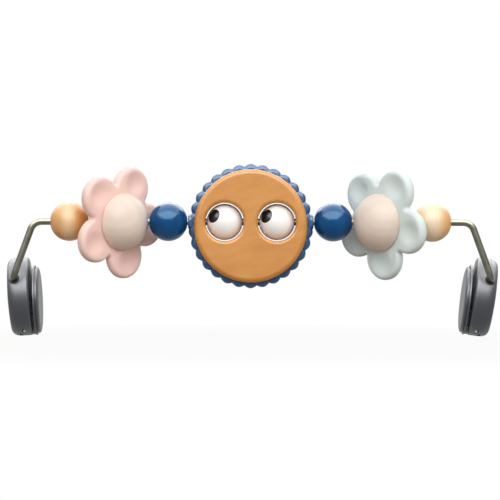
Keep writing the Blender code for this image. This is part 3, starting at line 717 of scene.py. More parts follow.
def rod(radius: float, low: float, high: float, edge: float = 0.0) -> list[Point]:
    """Give the profile of a rod.

    Args:
        radius: The rod's radius.
        low: Where it starts.
        high: Where it ends.
        edge: Radius of the rounding of its ends, if they have any.

    Returns:
        The closed profile.
    """
    if not edge:
        return [(0, low), (radius, low), (radius, high), (0, high)]
    lower = arc((radius - edge, low + edge), edge, -QUARTER, 0, 4)
    upper = arc((radius - edge, high - edge), edge, 0, QUARTER, 4)
    return [(0, low), *lower, *upper, (0, high)]


def ring(inner: float, outer: float, low: float, high: float, edge: float) -> list[Point]:
    """Give the profile of a ring.

    Args:
        inner: The radius of its hole.
        outer: Its outer radius.
        low: Where it starts.
        high: Where it ends.
        edge: Radius of the rounding of its edges.

    Returns:
        The closed profile.
    """
    inside, outside = inner + edge, outer - edge
    bottom, top = low + edge, high - edge
    points = []
    corners = ((outside, top), (inside, top), (inside, bottom), (outside, bottom))
    for quarter, corner in enumerate(corners):
        points += arc(corner, edge, quarter * QUARTER, (quarter + 1) * QUARTER, 3)
    return points


def carve(mesh: bpy.types.Mesh, *steps: tuple[Cut, bpy.types.Mesh]) -> bpy.types.Mesh:
    """Cut, join or trim a mesh with tools that lie in the same frame.

    Args:
        mesh: The solid.
        steps: What each tool does, and its mesh.

    Returns:
        The carved solid.
    """
    name = mesh.name
    target = bpy.data.objects.new(f"{name}_blank", mesh)
    objects = [target]
    for number, (cut, tool) in enumerate(steps):
        cutter = bpy.data.objects.new(f"{name}_tool_{number}", tool)
        objects.append(cutter)
        modifier = target.modifiers.new(f"cut_{number}", "BOOLEAN")
        modifier.operation = cut.value
        modifier.solver = "EXACT"
        modifier.object = cutter
    carved = baked(target, objects)
    carved.name = name
    return carved


def baked(target: bpy.types.Object, objects: Sequence[bpy.types.Object]) -> bpy.types.Mesh:
    """Evaluate an object's modifiers into a plain mesh and clear up what made it.

    Args:
        target: The object with the modifiers.
        objects: Every helper object, the target among them.

    Returns:
        The plain mesh.
    """
    scene = bpy.context.scene.collection
    for thing in objects:
        scene.objects.link(thing)
    graph = bpy.context.evaluated_depsgraph_get()
    mesh = bpy.data.meshes.new_from_object(target.evaluated_get(graph))
    for thing in objects:
        data = thing.data
        bpy.data.objects.remove(thing)
        if data is not None and data.users == 0:
            bpy.data.meshes.remove(data)
    return mesh


def softened(mesh: bpy.types.Mesh) -> bpy.types.Mesh:
    """Keep a carved mesh's flat faces flat under smooth shading.

    Args:
        mesh: The mesh.

    Returns:
        The mesh with normals weighted by face area.
    """
    smooth(mesh)
    target = bpy.data.objects.new(f"{mesh.name}_soft", mesh)
    modifier = target.modifiers.new("weighted", "WEIGHTED_NORMAL")
    modifier.keep_sharp = True
    modifier.weight = AREA_WEIGHT
    return baked(target, [target])


def smooth(mesh: bpy.types.Mesh) -> None:
    """Shade a mesh smoothly, with its real edges kept sharp."""
    mesh.shade_smooth()
    mesh.set_sharp_from_angle(angle=SMOOTH_ANGLE)


def add_piece(
    name: str,
    mesh: bpy.types.Mesh,
    material: bpy.types.Material,
    slot: str,
    body: str,
    *nodes: str,
) -> None:
    """Put a finished piece in the scene.

    Args:
        name: The piece's name.
        mesh: Its mesh, in the model's frame.
        material: Its material.
        slot: The record's slot of that finish; not used.
        body: The body that it rides on.
        nodes: The solids that it stands for.
    """
    if not mesh.has_custom_normals:
        smooth(mesh)
    mesh.materials.clear()
    mesh.materials.append(material)
    piece = bpy.data.objects.new(name, mesh)
    bpy.context.scene.collection.objects.link(piece)
    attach(piece, body)
    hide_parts(*nodes)
    LOG.info("%s rides on %s, %d faces", name, body, len(mesh.polygons))


# Geometry trees


class GeometryTree(NodeTree):
    """A geometry node tree with named inputs."""

    def __init__(self, name: str, inputs: Mapping[str, str]) -> None:
        """Start a tree.

        Args:
            name: The tree's name.
            inputs: Socket types of its inputs, by name.
        """
        super().__init__(bpy.data.node_groups.new(name, "GeometryNodeTree"))
        face = self.tree.interface
        face.new_socket("Geometry", in_out="INPUT", socket_type="NodeSocketGeometry")
        for label, kind in {**inputs, "Material": "NodeSocketMaterial"}.items():
            face.new_socket(label, in_out="INPUT", socket_type=kind)
        face.new_socket("Geometry", in_out="OUTPUT", socket_type="NodeSocketGeometry")
        self.source = self.tree.nodes.new("NodeGroupInput")

    def input(self, name: str) -> Signal:
        """Read one of the tree's inputs."""
        return Signal(self, self.source.outputs[name])

    def close(self, geometry: Signal) -> None:
        """End the tree: realise the copies and set the material.

        Args:
            geometry: What the tree made.
        """
        real = self.node("GeometryNodeRealizeInstances", None, {"Geometry": geometry})
        values = {"Geometry": real, "Material": self.input("Material")}
        done = self.node("GeometryNodeSetMaterial", None, values)
        out = self.tree.nodes.new("NodeGroupOutput")
        self.tree.links.new(done.socket, out.inputs["Geometry"])

    def run(
        self,
        mesh: bpy.types.Mesh,
        values: Mapping[str, object],
        helpers: Sequence[bpy.types.Object] = (),
    ) -> bpy.types.Mesh:
        """Run the tree on a mesh.

        Args:
            mesh: The mesh that it starts from.
            values: Its inputs, by name.
            helpers: Objects that the inputs name, cleared afterwards.

        Returns:
            The baked mesh, welded and with its faces pointing out.
        """
        name = mesh.name
        target = bpy.data.objects.new(f"{name}_guide", mesh)
        modifier = target.modifiers.new("nodes", "NODES")
        modifier.node_group = self.tree
        for item in self.tree.interface.items_tree:
            if item.item_type == "SOCKET" and item.in_out == "INPUT" and item.name in values:
                modifier[item.identifier] = values[item.name]
        made = baked(target, [target, *helpers])
        builder = bmesh.new()
        builder.from_mesh(made)
        result = mesh_from(name, builder)
        bpy.data.meshes.remove(made)
        return result


def rod_tree() -> GeometryTree:
    """Make the tree that bends a round rod along a guide, with a bend radius at each corner.

    Returns:
        The tree.
    """
    kinds = {"Diameter": "NodeSocketFloat", "Bend Steps": "NodeSocketInt", "Sides": "NodeSocketInt"}
    tree = GeometryTree("bent_rod", kinds)
    line = tree.node("GeometryNodeMeshToCurve", None, {"Mesh": tree.input("Geometry")})
    bend = tree.node("GeometryNodeInputNamedAttribute", {"data_type": "FLOAT"}, {"Name": "bend"})
    values = {"Curve": line, "Count": tree.input("Bend Steps"), "Radius": bend}
    bent = tree.node("GeometryNodeFilletCurve", {"mode": "POLY"}, values)
    radius = tree.input("Diameter") * 0.5
    values = {"Resolution": tree.input("Sides"), "Radius": radius}
    profile = tree.node("GeometryNodeCurvePrimitiveCircle", None, values)
    values = {"Curve": bent, "Profile Curve": profile, "Fill Caps": True}
    tree.close(tree.node("GeometryNodeCurveToMesh", None, values))
    return tree


def copies_tree() -> GeometryTree:
    """Make the tree that sets a copy at each guide point, turned about Z, and welds them.

    Returns:
        The tree.
    """
    kinds = {"Copy": "NodeSocketObject", "Weld Distance": "NodeSocketFloat"}
    tree = GeometryTree("set_copies", kinds)
    copy = tree.node("GeometryNodeObjectInfo", None, {"Object": tree.input("Copy")}, "Geometry")
    turn = tree.node("GeometryNodeInputNamedAttribute", {"data_type": "FLOAT"}, {"Name": "turn"})
    spin = tree.node("ShaderNodeCombineXYZ", None, {"Z": turn})
    values = {"Points": tree.input("Geometry"), "Instance": copy, "Rotation": spin}
    copies = tree.node("GeometryNodeInstanceOnPoints", None, values)
    real = tree.node("GeometryNodeRealizeInstances", None, {"Geometry": copies})
    values = {"Geometry": real, "Distance": tree.input("Weld Distance")}
    tree.close(tree.node("GeometryNodeMergeByDistance", None, values))
    return tree


def coil_tree() -> GeometryTree:
    """Make the tree that winds a coil spring along Z, and joins it to its guide's two legs.

    Returns:
        The tree.
    """
    kinds = {
        "Turns": "NodeSocketFloat",
        "Coil Radius": "NodeSocketFloat",
        "Length": "NodeSocketFloat",
        "Wire Radius": "NodeSocketFloat",
    }
    tree = GeometryTree("coil_spring", kinds)
    radius = tree.input("Coil Radius")
    steps_a_turn, wire_sides = 28, 10
    values = {
        "Resolution": steps_a_turn,
        "Rotations": tree.input("Turns"),
        "Start Radius": radius,
        "End Radius": radius,
        "Height": tree.input("Length"),
    }
    coil = tree.node("GeometryNodeCurveSpiral", None, values)
    shift = tree.node("ShaderNodeCombineXYZ", None, {"Z": tree.input("Length") * -0.5})
    values = {"Geometry": coil, "Translation": shift}
    coil = tree.node("GeometryNodeTransform", None, values)
    legs = tree.node("GeometryNodeMeshToCurve", None, {"Mesh": tree.input("Geometry")})
    both = tree.node("GeometryNodeJoinGeometry", None, {"Geometry": coil})
    tree.tree.links.new(legs.socket, both.socket.node.inputs["Geometry"])
    values = {"Resolution": wire_sides, "Radius": tree.input("Wire Radius")}
    profile = tree.node("GeometryNodeCurvePrimitiveCircle", None, values)
    values = {"Curve": both, "Profile Curve": profile, "Fill Caps": True}
    tree.close(tree.node("GeometryNodeCurveToMesh", None, values))
    return tree


def guide(
    name: str,
    points: Sequence[Sequence[float]],
    edges: Sequence[tuple[int, int]],
    attribute: str = "",
    values: Sequence[float] = (),
) -> bpy.types.Mesh:
    """Make a mesh of points and edges for a tree to follow.

    Args:
        name: The mesh's name.
        points: Its points.
        edges: Pairs of their numbers.
        attribute: Name of a number that each point carries.
        values: Those numbers.

    Returns:
        The mesh.
    """
    mesh = bpy.data.meshes.new(name)
    mesh.from_pydata([tuple(point) for point in points], edges, [])
    if attribute:
        mesh.attributes.new(attribute, "FLOAT", "POINT").data.foreach_set("value", values)
    return mesh


@dataclass
class Kit:
    """The geometry trees that the sub-assemblies share."""

    rod: GeometryTree = field(default_factory=rod_tree)
    copies: GeometryTree = field(default_factory=copies_tree)
    coil: GeometryTree = field(default_factory=coil_tree)

    def repeat(
        self,
        mesh: bpy.types.Mesh,
        turns: Sequence[float],
        material: bpy.types.Material,
        points: Sequence[Sequence[float]] | None = None,
    ) -> bpy.types.Mesh:
        """Repeat a mesh about Z and weld the copies.

        Args:
            mesh: One copy.
            turns: The turn of each copy.
            material: Its material.
            points: The place of each copy, where it isn't the middle.

        Returns:
            All the copies as one mesh.
        """
        spots = points or [ORIGIN] * len(turns)
        marks = guide(f"{mesh.name}_all", spots, [], "turn", turns)
        copy = bpy.data.objects.new(f"{mesh.name}_copy", mesh)
        values = {"Copy": copy, "Weld Distance": COPY_WELD_DISTANCE, "Material": material}
        return self.copies.run(marks, values, [copy])


# Sub-assemblies


def row_place(span: float) -> Matrix:
    """Place a piece on the bar's axis at a distance from the middle of the row."""
    return Matrix.Translation(BAR_CENTRE + Vector((ROW_SHIFT + span, 0, 0)))


def bead_profile(radius: float, mouth: float, steps: int = 40) -> list[Point]:
    """Give the profile of a bored ball with eased bore mouths.

    Args:
        radius: The ball's radius.
        mouth: Radius of the rounding where the bore comes out.
        steps: Steps along the ball.

    Returns:
        The closed profile.
    """
    across = BORE_RADIUS + mouth
    height = math.sqrt((radius - mouth) ** 2 - across**2)
    lean = math.atan2(height, across)
    upper = arc((across, height), mouth, lean, math.pi, 5)
    lower = [(x, -y) for x, y in reversed(upper)]
    return lower + arc((0, 0), radius, -lean, lean, steps)[1:-1] + upper


@dataclass
class WireBar:
    """The bent wire, with the two rings that keep the clips on it."""

    kit: Kit
    corner_span: float = 0.1968
    corner_radius: float = 0.0105
    socket_drop: float = 0.0515
    socket_radius: float = 0.0085
    end_length: float = 0.041695
    bend_steps: int = 14
    retainer_width: float = 0.0016
    retainer_thickness: float = 0.0016
    retainer_edge: float = 0.0003

    def socket(self, side: Side) -> Vector:
        """Give the wire's lower corner at one side."""
        return BAR_CENTRE + Vector((side.value * SOCKET_SPAN, 0, -self.socket_drop))

    def build(self) -> None:
        """Build the wire and its rings."""
        material = MetalFinish("satin_wire", (98, 97, 87), (84, 82, 73), 0.3).material()
        ends = []
        for side in Side:
            low = self.socket(side)
            far = low + Vector((0, self.end_length, 0))
            high = BAR_CENTRE + Vector((side.value * self.corner_span, 0, 0))
            ends.append([far, low, high])
        points = ends[0] + ends[1][::-1]
        bends = [0.0, self.socket_radius, self.corner_radius]
        edges = [(step, step + 1) for step in range(len(points) - 1)]
        line = guide("bent_bar", points, edges, "bend", bends + bends[::-1])
        values = {"Bend Steps": self.bend_steps, "Sides": int(Steps.PIN), "Material": material}
        mesh = self.kit.rod.run(line, {"Diameter": WIRE_DIAMETER, **values})
        add_piece("bent_wire_bar", mesh, material, "satin_wire", "bar", "bar_wire")

        steel = MetalFinish("plated_ring", (190, 190, 186), (160, 160, 156), 0.3).material()
        for side in Side:
            spot = self.socket(side) + Vector((0, RETAINER_PLACE, 0))
            place = Matrix.Translation(spot) @ ALONG_Y
            radii = (WIRE_RADIUS + GAP, WIRE_RADIUS + self.retainer_width)
            profile = ring(*radii, 0, self.retainer_thickness, self.retainer_edge)
            name = f"{side.label}_retaining_ring"
            mesh = turned(name, profile, place, Steps.BORE)
            node = f"{side.label}_wire_retainer"
            add_piece(name, mesh, steel, "plated_steel", "bar", node)


@dataclass
class BeadRow:
    """The two wooden beads and the two blue beads."""

    radius: float = 0.0175
    mouth: float = 0.0007
    wood_span: float = 0.163
    blue_span: float = 0.0741

    def build(self) -> None:
        """Build the four beads."""
        blue = LacquerFinish(
            "blue_lacquer", (6, 71, 127), (4, 62, 114),
            roughness=0.16, coat=0.0, gloss=0.23, tint=(0.6, 0.88, 1),
        ).material()
        wood_left, wood_right = (row_place(side.value * self.wood_span) for side in Side)
        golden = SapwoodFinish(
            "golden_wood", (238, 206, 166), (226, 176, 114), (204, 134, 60),
            tuple(wood_left.translation), band_from=-0.005, band_to=0.0035, seed=-7,
        )
        pale = SapwoodFinish(
            "pale_wood", (240, 220, 192), (238, 206, 160), (220, 166, 104),
            tuple(wood_right.translation), band_from=-0.009, band_to=0.0045, seed=7,
        )
        profile = bead_profile(self.radius, self.mouth)
        for side, wood, place in zip(Side, (golden, pale), (wood_left, wood_right)):
            name, body = f"{side.label}_wooden_bead", f"{side.label}_wood_bead"
            mesh = turned(name, profile, place @ ALONG_X)
            add_piece(name, mesh, wood.material(), wood.name, body, body)
            name, body = f"{side.label}_blue_painted_bead", f"{side.label}_blue_bead"
            mesh = turned(name, profile, row_place(side.value * self.blue_span) @ ALONG_X)
            add_piece(name, mesh, blue, "blue_lacquer", body, body)


@dataclass
class Flower:
    """One flower: a moulded petal plate between two half-balls, with two hidden dowels."""

    kit: Kit
    name: str
    side: Side
    first_petal: float
    finish: PlasticFinish
    wood: WoodFinish
    span: float = 0.11855
    turn: float = math.radians(45.5)
    lean: float = math.radians(4.8)
    ball_radius: float = 0.02665
    petal_count: int = 5
    petal_radius: float = 0.0198
    petal_centre: float = 0.032195
    notch_radius: float = 0.0015
    thickness: float = 0.0095
    edge: float = 0.004
    dish_centre: float = 0.0368
    dish_radius: float = 0.0122
    dish_depth: float = 0.0025
    dish_power: float = 1.7
    hub_radius: float = 0.018
    hub_inset: float = 0.013
    dome_edge: float = 0.0013
    dowel_radius: float = 0.003
    dowel_spread: float = 0.01146
    dowel_reach: float = 0.014744
    dowel_edge: float = 0.0006

    def frame(self) -> Matrix:
        """Place the leaning flower on the bar.

        Returns:
            Its frame, Z as the plate's normal and Y upwards.
        """
        sine, cosine = math.sin(self.turn), math.cos(self.turn)
        side = self.side.value
        turn = Matrix(((cosine, 0, -side * sine), (-side * sine, 0, -cosine), (0, 1, 0)))
        lean = Matrix.Rotation(self.lean, 4, "X")
        return row_place(side * self.span) @ lean @ turn.to_4x4()

    def outline(self, inset: float) -> list[Point]:
        """List one petal's outline, drawn in by an inset, from notch to notch.

        Args:
            inset: How far inside the petal's edge.

        Returns:
            The (x, y) points, with the petal along X.
        """
        half = math.pi / self.petal_count
        reach_length = self.petal_radius + self.notch_radius
        lean = math.asin(self.petal_centre * math.sin(half) / reach_length)
        reach = half + lean
        middle = self.petal_centre * math.cos(half) + reach_length * math.cos(lean)
        points = arc((self.petal_centre, 0), self.petal_radius - inset, 0, reach, 20)
        notch = (middle * math.cos(half), middle * math.sin(half))
        radius = self.notch_radius + inset
        points += arc(notch, radius, reach + math.pi, half + math.pi, 5)[1:]
        mirrored = [(x, -y) for x, y in reversed(points)]
        return mirrored + points[1:]

    def relief(self, x: float, y: float) -> float:
        """Give the dish's depth at a point of one petal.

        Args:
            x: Distance along the petal.
            y: Distance across it.

        Returns:
            How far the surface lies below the plate's face.
        """
        away = math.hypot(x - self.dish_centre, y) / self.dish_radius
        return self.dish_depth * max(0.0, 1 - away**2) ** self.dish_power

    def petal_mesh(self) -> bpy.types.Mesh:
        """Make one petal with its share of the hub, open at both of its flanks.

        Returns:
            The petal's mesh, along X.
        """
        half = self.thickness / 2
        rows = self.petal_rows()
        builder = bmesh.new()
        rims = []
        for facing in (1, -1):
            made = []
            for outline, height in rows:
                dished = facing > 0 and height == half
                points = [(x, y, height - (self.relief(x, y) if dished else 0)) for x, y in outline]
                made.append([builder.verts.new((x, y, z * facing)) for x, y, z in points])
            middle = builder.verts.new((0, 0, half * facing))
            skin(builder, made)
            inmost = made[-1]
            for step in range(len(inmost) - 1):
                builder.faces.new((inmost[step], inmost[step + 1], middle))
            rims.append(made[0])
        skin(builder, rims)
        return mesh_from(f"{self.name}_one_petal", builder)

    def petal_rows(self) -> list[tuple[list[Point], float]]:
        """List the rows of points of one petal's face, from its rim to the hub.

        Returns:
            Each row's (x, y) points and its height.
        """
        half = self.thickness / 2
        edge_steps, face_steps, hub_steps = 8, 9, 8
        rows = []
        for step in range(edge_steps + 1):
            angle = QUARTER * step / edge_steps
            height = half - self.edge * (1 - math.sin(angle))
            rows.append((self.outline(self.edge * (1 - math.cos(angle))), height))
        for step in range(1, face_steps + 1):
            inset = self.edge + (self.hub_inset - self.edge) * step / face_steps
            rows.append((self.outline(inset), half))
        last = rows[-1][0]
        angles = [math.atan2(y, x) for x, y in last]
        hub = [(self.hub_radius * math.cos(a), self.hub_radius * math.sin(a)) for a in angles]
        pairs = list(zip(last, hub))
        for step in range(1, hub_steps + 1):
            share = step / hub_steps
            blend = [(x + (u - x) * share, y + (v - y) * share) for (x, y), (u, v) in pairs]
            rows.append((blend, half))
        return rows

    def dome_profile(self, facing: int) -> list[Point]:
        """Give the profile of a half-ball that sits on the petal plate.

        Args:
            facing: 1 for the front of the plate, -1 for its rear.

        Returns:
            The closed profile.
        """
        base = self.thickness / 2 + GAP
        radius, edge = self.ball_radius, self.dome_edge
        height = base + edge
        across = math.sqrt((radius - edge) ** 2 - height**2)
        start = math.atan2(height, across)
        profile = [(0, base)]
        profile += arc((across, height), edge, -QUARTER, start, 5)
        profile += arc((0, 0), radius, start, QUARTER, 30)[1:-1]
        return [(x, y * facing) for x, y in [*profile, (0, radius)]]

    def dowel_place(self, frame: Matrix, facing: int) -> Matrix:
        """Place the dowel above (1) or below (-1) the wire."""
        return frame @ Matrix.Translation((0, facing * self.dowel_spread, 0))

    def tools(self, frame: Matrix) -> list[tuple[Cut, bpy.types.Mesh]]:
        """Make the cutters for the wire's bore and the two dowels.

        Args:
            frame: The flower's frame.

        Returns:
            The cuts.
        """
        along_bar = row_place(self.side.value * self.span) @ ALONG_X
        length = 2 * self.ball_radius
        bore = turned("flower_bore", rod(BORE_RADIUS, -length, length), along_bar, Steps.BORE)
        reach = self.dowel_reach + GAP
        hole = rod(self.dowel_radius + GAP, -reach, reach)
        places = [self.dowel_place(frame, facing) for facing in (1, -1)]
        holes = [turned("dowel_hole", hole, place, Steps.PIN) for place in places]
        return [(Cut.REMOVE, tool) for tool in (bore, *holes)]

    def build(self) -> None:
        """Build the petal plate, the half-balls and the dowels."""
        frame = self.frame()
        petal_material = self.finish.material()
        count = self.petal_count
        turns = [self.first_petal + math.tau * petal / count for petal in range(count)]
        plate = self.kit.repeat(self.petal_mesh(), turns, petal_material)
        plate.transform(frame)
        name, node = f"{self.name}_petal_plate", f"{self.name}_petals"
        plate.name = name
        plate = carve(plate, *self.tools(frame))
        add_piece(name, plate, petal_material, self.finish.name, self.name, node)
        cream = self.wood.material()
        for facing, part in ((1, "front"), (-1, "rear")):
            name = f"{self.name}_{part}_half_ball"
            mesh = turned(name, self.dome_profile(facing), frame, Steps.DOME)
            mesh = carve(mesh, *self.tools(frame))
            node = f"{self.name}_{part}_dome"
            add_piece(name, mesh, cream, "cream_lacquer", self.name, node)
        colours = ((226, 200, 160), (212, 182, 138), (180, 144, 98))
        beech = WoodFinish("dowel_wood", *colours, roughness=0.6).material()
        profile = rod(self.dowel_radius, -self.dowel_reach, self.dowel_reach, self.dowel_edge)
        for facing, part in ((1, "upper"), (-1, "lower")):
            name, node = f"{self.name}_{part}_beech_dowel", f"{self.name}_{part}_dowel"
            mesh = turned(name, profile, self.dowel_place(frame, facing), Steps.PIN)
            add_piece(name, mesh, beech, "dowel_wood", self.name, node)


@dataclass
class FaceDisc:
    """The round wooden face, the lobed blue disc behind it and their four screws."""

    kit: Kit
    radius: float = 0.05075
    thickness: float = 0.0078
    edge: float = 0.0044
    back_edge: float = 0.0012
    drop: float = 0.0036
    rim_radius: float = 0.0561
    rim_thickness: float = 0.013
    rim_edge: float = 0.0045
    lobe_count: int = 30
    lobe_depth: float = 0.0022
    boss_base: float = 0.027
    boss_root: float = 0.0465
    boss_reach: float = 0.0563
    boss_edge: float = 0.0009
    socket_radius: float = 0.01724
    lip: float = 0.0032
    screw_circle: float = 0.03857
    screw_angles: tuple[float, ...] = (60, 120, 240, 300)
    screw_shank: float = 0.0016
    screw_tip: float = 0.00048
    screw_point: float = 0.0018
    screw_ease: float = 0.0004
    screw_head: float = 0.0033
    screw_head_depth: float = 0.0022
    screw_recess: float = 0.0026
    screw_grip: float = 0.0045
    screw_drive: float = 0.0013
    screw_drive_depth: float = 0.0012

    def upright(self) -> Matrix:
        """Place the discs, with Z towards the viewer and Y upwards."""
        return row_place(0) @ Matrix.Translation((0, 0, -self.drop)) @ TO_VIEWER

    def disc_profile(self, front: float, back: float) -> list[Point]:
        """Give the wooden disc's profile.

        Args:
            front: Where its face lies.
            back: Where its back lies.

        Returns:
            The closed profile, Z towards the viewer.
        """
        fore = (self.radius - self.edge, front - self.edge)
        rear = (self.radius - self.back_edge, back + self.back_edge)
        profile = [(0, back), *arc(rear, self.back_edge, -QUARTER, 0, 4)]
        return [*profile, *arc(fore, self.edge, 0, QUARTER, 12), (0, front)]

    def lobe_mesh(self) -> bpy.types.Mesh:
        """Make one lobe with its share of the disc, open at both of its flanks.

        Returns:
            The lobe's mesh, along X.
        """
        half = self.rim_thickness / 2
        steps = 14
        span = math.tau / self.lobe_count
        angles = [span * (step / steps - 0.5) for step in range(steps + 1)]
        lobes = [abs(math.cos(angle * self.lobe_count / 2)) for angle in angles]
        edges = arc((self.rim_edge, half - self.rim_edge), self.rim_edge, math.pi, QUARTER, 9)
        builder = bmesh.new()
        rings = []
        profile = [(inset, -height) for inset, height in reversed(edges)] + edges
        for inset, height in profile:
            points = []
            for angle, lobe in zip(angles, lobes):
                reach = self.rim_radius - self.lobe_depth * (1 - lobe) - inset
                place = (reach * math.cos(angle), reach * math.sin(angle), height)
                points.append(builder.verts.new(place))
            rings.append(points)
        skin(builder, rings)
        for points, height in ((rings[0], -half), (rings[-1], half)):
            middle = builder.verts.new((0, 0, height))
            builder.faces.new([middle, *points])
        return mesh_from("blue_disc_lobe", builder)

    def boss_mesh(self, side: Side) -> bpy.types.Mesh:
        """Make the tapered boss at one side of the blue disc, on the bar's axis.

        Args:
            side: The side.

        Returns:
            The boss's mesh.
        """
        radius = self.rim_thickness / 2 - GAP
        straight = self.boss_base / 2 - radius
        steps, edge_steps = 40, 4
        stations = [(self.boss_root, 1.0, 0.0)]
        for turn in range(edge_steps + 1):
            lean = QUARTER * turn / edge_steps
            inset = self.boss_edge * (1 - math.cos(lean))
            along = self.boss_reach - self.boss_edge * (1 - math.sin(lean))
            share = (self.boss_reach - along) / (self.boss_reach - self.boss_root)
            stations.append((along, share, inset))
        rings = []
        for along, share, inset in stations:
            points = []
            for step in range(steps):
                angle = math.tau * (step + 0.5) / steps
                rise = math.copysign(straight * share, math.sin(angle))
                rise += (radius - inset) * math.sin(angle) - self.drop * share
                across = (radius - inset) * math.cos(angle)
                points.append(Vector((side.value * along, across, rise)))
            rings.append(points)
        return lofted(f"{side.label}_boss", rings, row_place(0))

    def screw_points(self) -> list[tuple[float, float, float]]:
        """List the screws' places on the disc's back.

        Returns:
            The places, in the upright frame.
        """
        turns = [math.radians(angle) for angle in self.screw_angles]
        circle, back = self.screw_circle, -self.rim_thickness / 2
        return [(circle * math.cos(a), circle * math.sin(a), back) for a in turns]

    def screw_profile(self) -> list[Point]:
        """Give a screw's profile: tip, shank, sunk head and drive recess.

        Returns:
            The closed profile, Z to the back.
        """
        top = GAP + self.screw_head_depth - self.screw_recess
        under, ease = top - self.screw_head_depth, self.screw_ease
        tip = -self.rim_thickness - self.screw_grip
        shank, drive = self.screw_shank, self.screw_drive
        profile = [(0, tip), (self.screw_tip, tip), (shank, tip + self.screw_point)]
        profile += [(shank, under), (self.screw_head, under)]
        profile += arc((self.screw_head - ease, top - ease), ease, 0, QUARTER, 4)
        bottom = top - self.screw_drive_depth
        return [*profile, (drive, top), (drive, bottom), (0, bottom)]

    def screw_hole(self, place: Matrix) -> bpy.types.Mesh:
        """Make the cutter of one screw's hole, open at the back.

        Args:
            place: The screw's place.

        Returns:
            The cutter.
        """
        tip = -self.rim_thickness - self.screw_grip - GAP
        shank, head = self.screw_shank + GAP, self.screw_head + GAP
        profile = [(0, tip), (shank, tip), (shank, -self.screw_recess), (head, -self.screw_recess)]
        return turned("screw_hole", [*profile, (head, OVERRUN), (0, OVERRUN)], place, Steps.PIN)

    def holes(self, name: str, socket: Sequence[Point]) -> list[tuple[Cut, bpy.types.Mesh]]:
        """Make the cutters of a disc's two eye sockets and its four screw holes.

        Args:
            name: The sockets' name.
            socket: Their profile, Z towards the viewer.

        Returns:
            The cuts.
        """
        places = [row_place(side.value * EYE_SPAN) @ TO_VIEWER for side in Side]
        tools = [turned(name, socket, place) for place in places]
        for spot in self.screw_points():
            place = self.upright() @ Matrix.Translation(spot) @ TURNED_OVER
            tools.append(self.screw_hole(place))
        return [(Cut.REMOVE, tool) for tool in tools]

    def build(self) -> None:
        """Build the face, the blue disc and the screws."""
        self.build_face()
        self.build_rim()
        self.build_screws()

    def build_face(self) -> None:
        """Build the wooden disc, with a rounded lip round each eye socket."""
        back = self.rim_thickness / 2 + GAP
        front = back + self.thickness
        profile = self.disc_profile(front, back)
        face = turned("face_disc_blank", profile, self.upright(), Steps.FACE)
        outer = self.socket_radius + self.lip
        lip = arc((outer, front - self.lip), self.lip, QUARTER, math.pi, 10)
        socket = [(0, front + OVERRUN), (outer, front + OVERRUN), *lip]
        socket += [(self.socket_radius, back - OVERRUN), (0, back - OVERRUN)]
        face = softened(carve(face, *self.holes("eye_socket", socket)))
        honey = WoodFinish(
            "honey_wood", (214, 157, 84), (203, 140, 66), (184, 116, 46),
            centre=tuple(row_place(0).translation), turn=(0, math.radians(80), 0),
            heart=(0.04, 0.09), ring_count=120.0, ring_strength=0.3, blotch_strength=0.5,
            fibre_strength=0.16, roughness=0.44, coat=0.0, relief=0.00002, gloss=0.26,
        )
        add_piece("wooden_face_disc", face, honey.material(), "honey_wood", "face", "face_disc")

    def build_rim(self) -> None:
        """Build the lobed blue disc with its two bosses."""
        # The third colour lightens the lobes' edges: edge wear plus a painted highlight.
        blue = PlasticFinish(
            "blue_plastic", (32, 76, 118), (26, 67, 108), (116, 150, 180),
            roughness=0.28, rub_strength=0.35, gloss=0.34,
        ).material()
        turns = [QUARTER + math.tau * lobe / self.lobe_count for lobe in range(self.lobe_count)]
        rim = self.kit.repeat(self.lobe_mesh(), turns, blue)
        rim.transform(self.upright())
        bosses = [(Cut.JOIN, self.boss_mesh(side)) for side in Side]
        along = rod(BORE_RADIUS, -2 * self.radius, 2 * self.radius)
        bore = turned("rim_bore", along, row_place(0) @ ALONG_X, Steps.BORE)
        socket = rod(self.socket_radius, -self.rim_thickness, self.rim_thickness)
        holes = self.holes("rim_eye_socket", socket)
        rim = softened(carve(rim, *bosses, (Cut.REMOVE, bore), *holes))
        add_piece("lobed_blue_disc", rim, blue, "blue_plastic", "face", "scallop_disc")

    def build_screws(self) -> None:
        """Build the four screws as one piece."""
        steel = MetalFinish("plated_screw", (196, 196, 192), (168, 168, 164), 0.28).material()
        screw = turned("face_screw", self.screw_profile(), TURNED_OVER, Steps.PIN)
        points = self.screw_points()
        screws = self.kit.repeat(screw, [0.0] * len(points), steel, points)
        screws.transform(self.upright())
        nodes = [f"{row}_{side.label}_face_screw" for row in ("upper", "lower") for side in Side]
        add_piece("face_screws", screws, steel, "plated_steel", "face", *nodes)


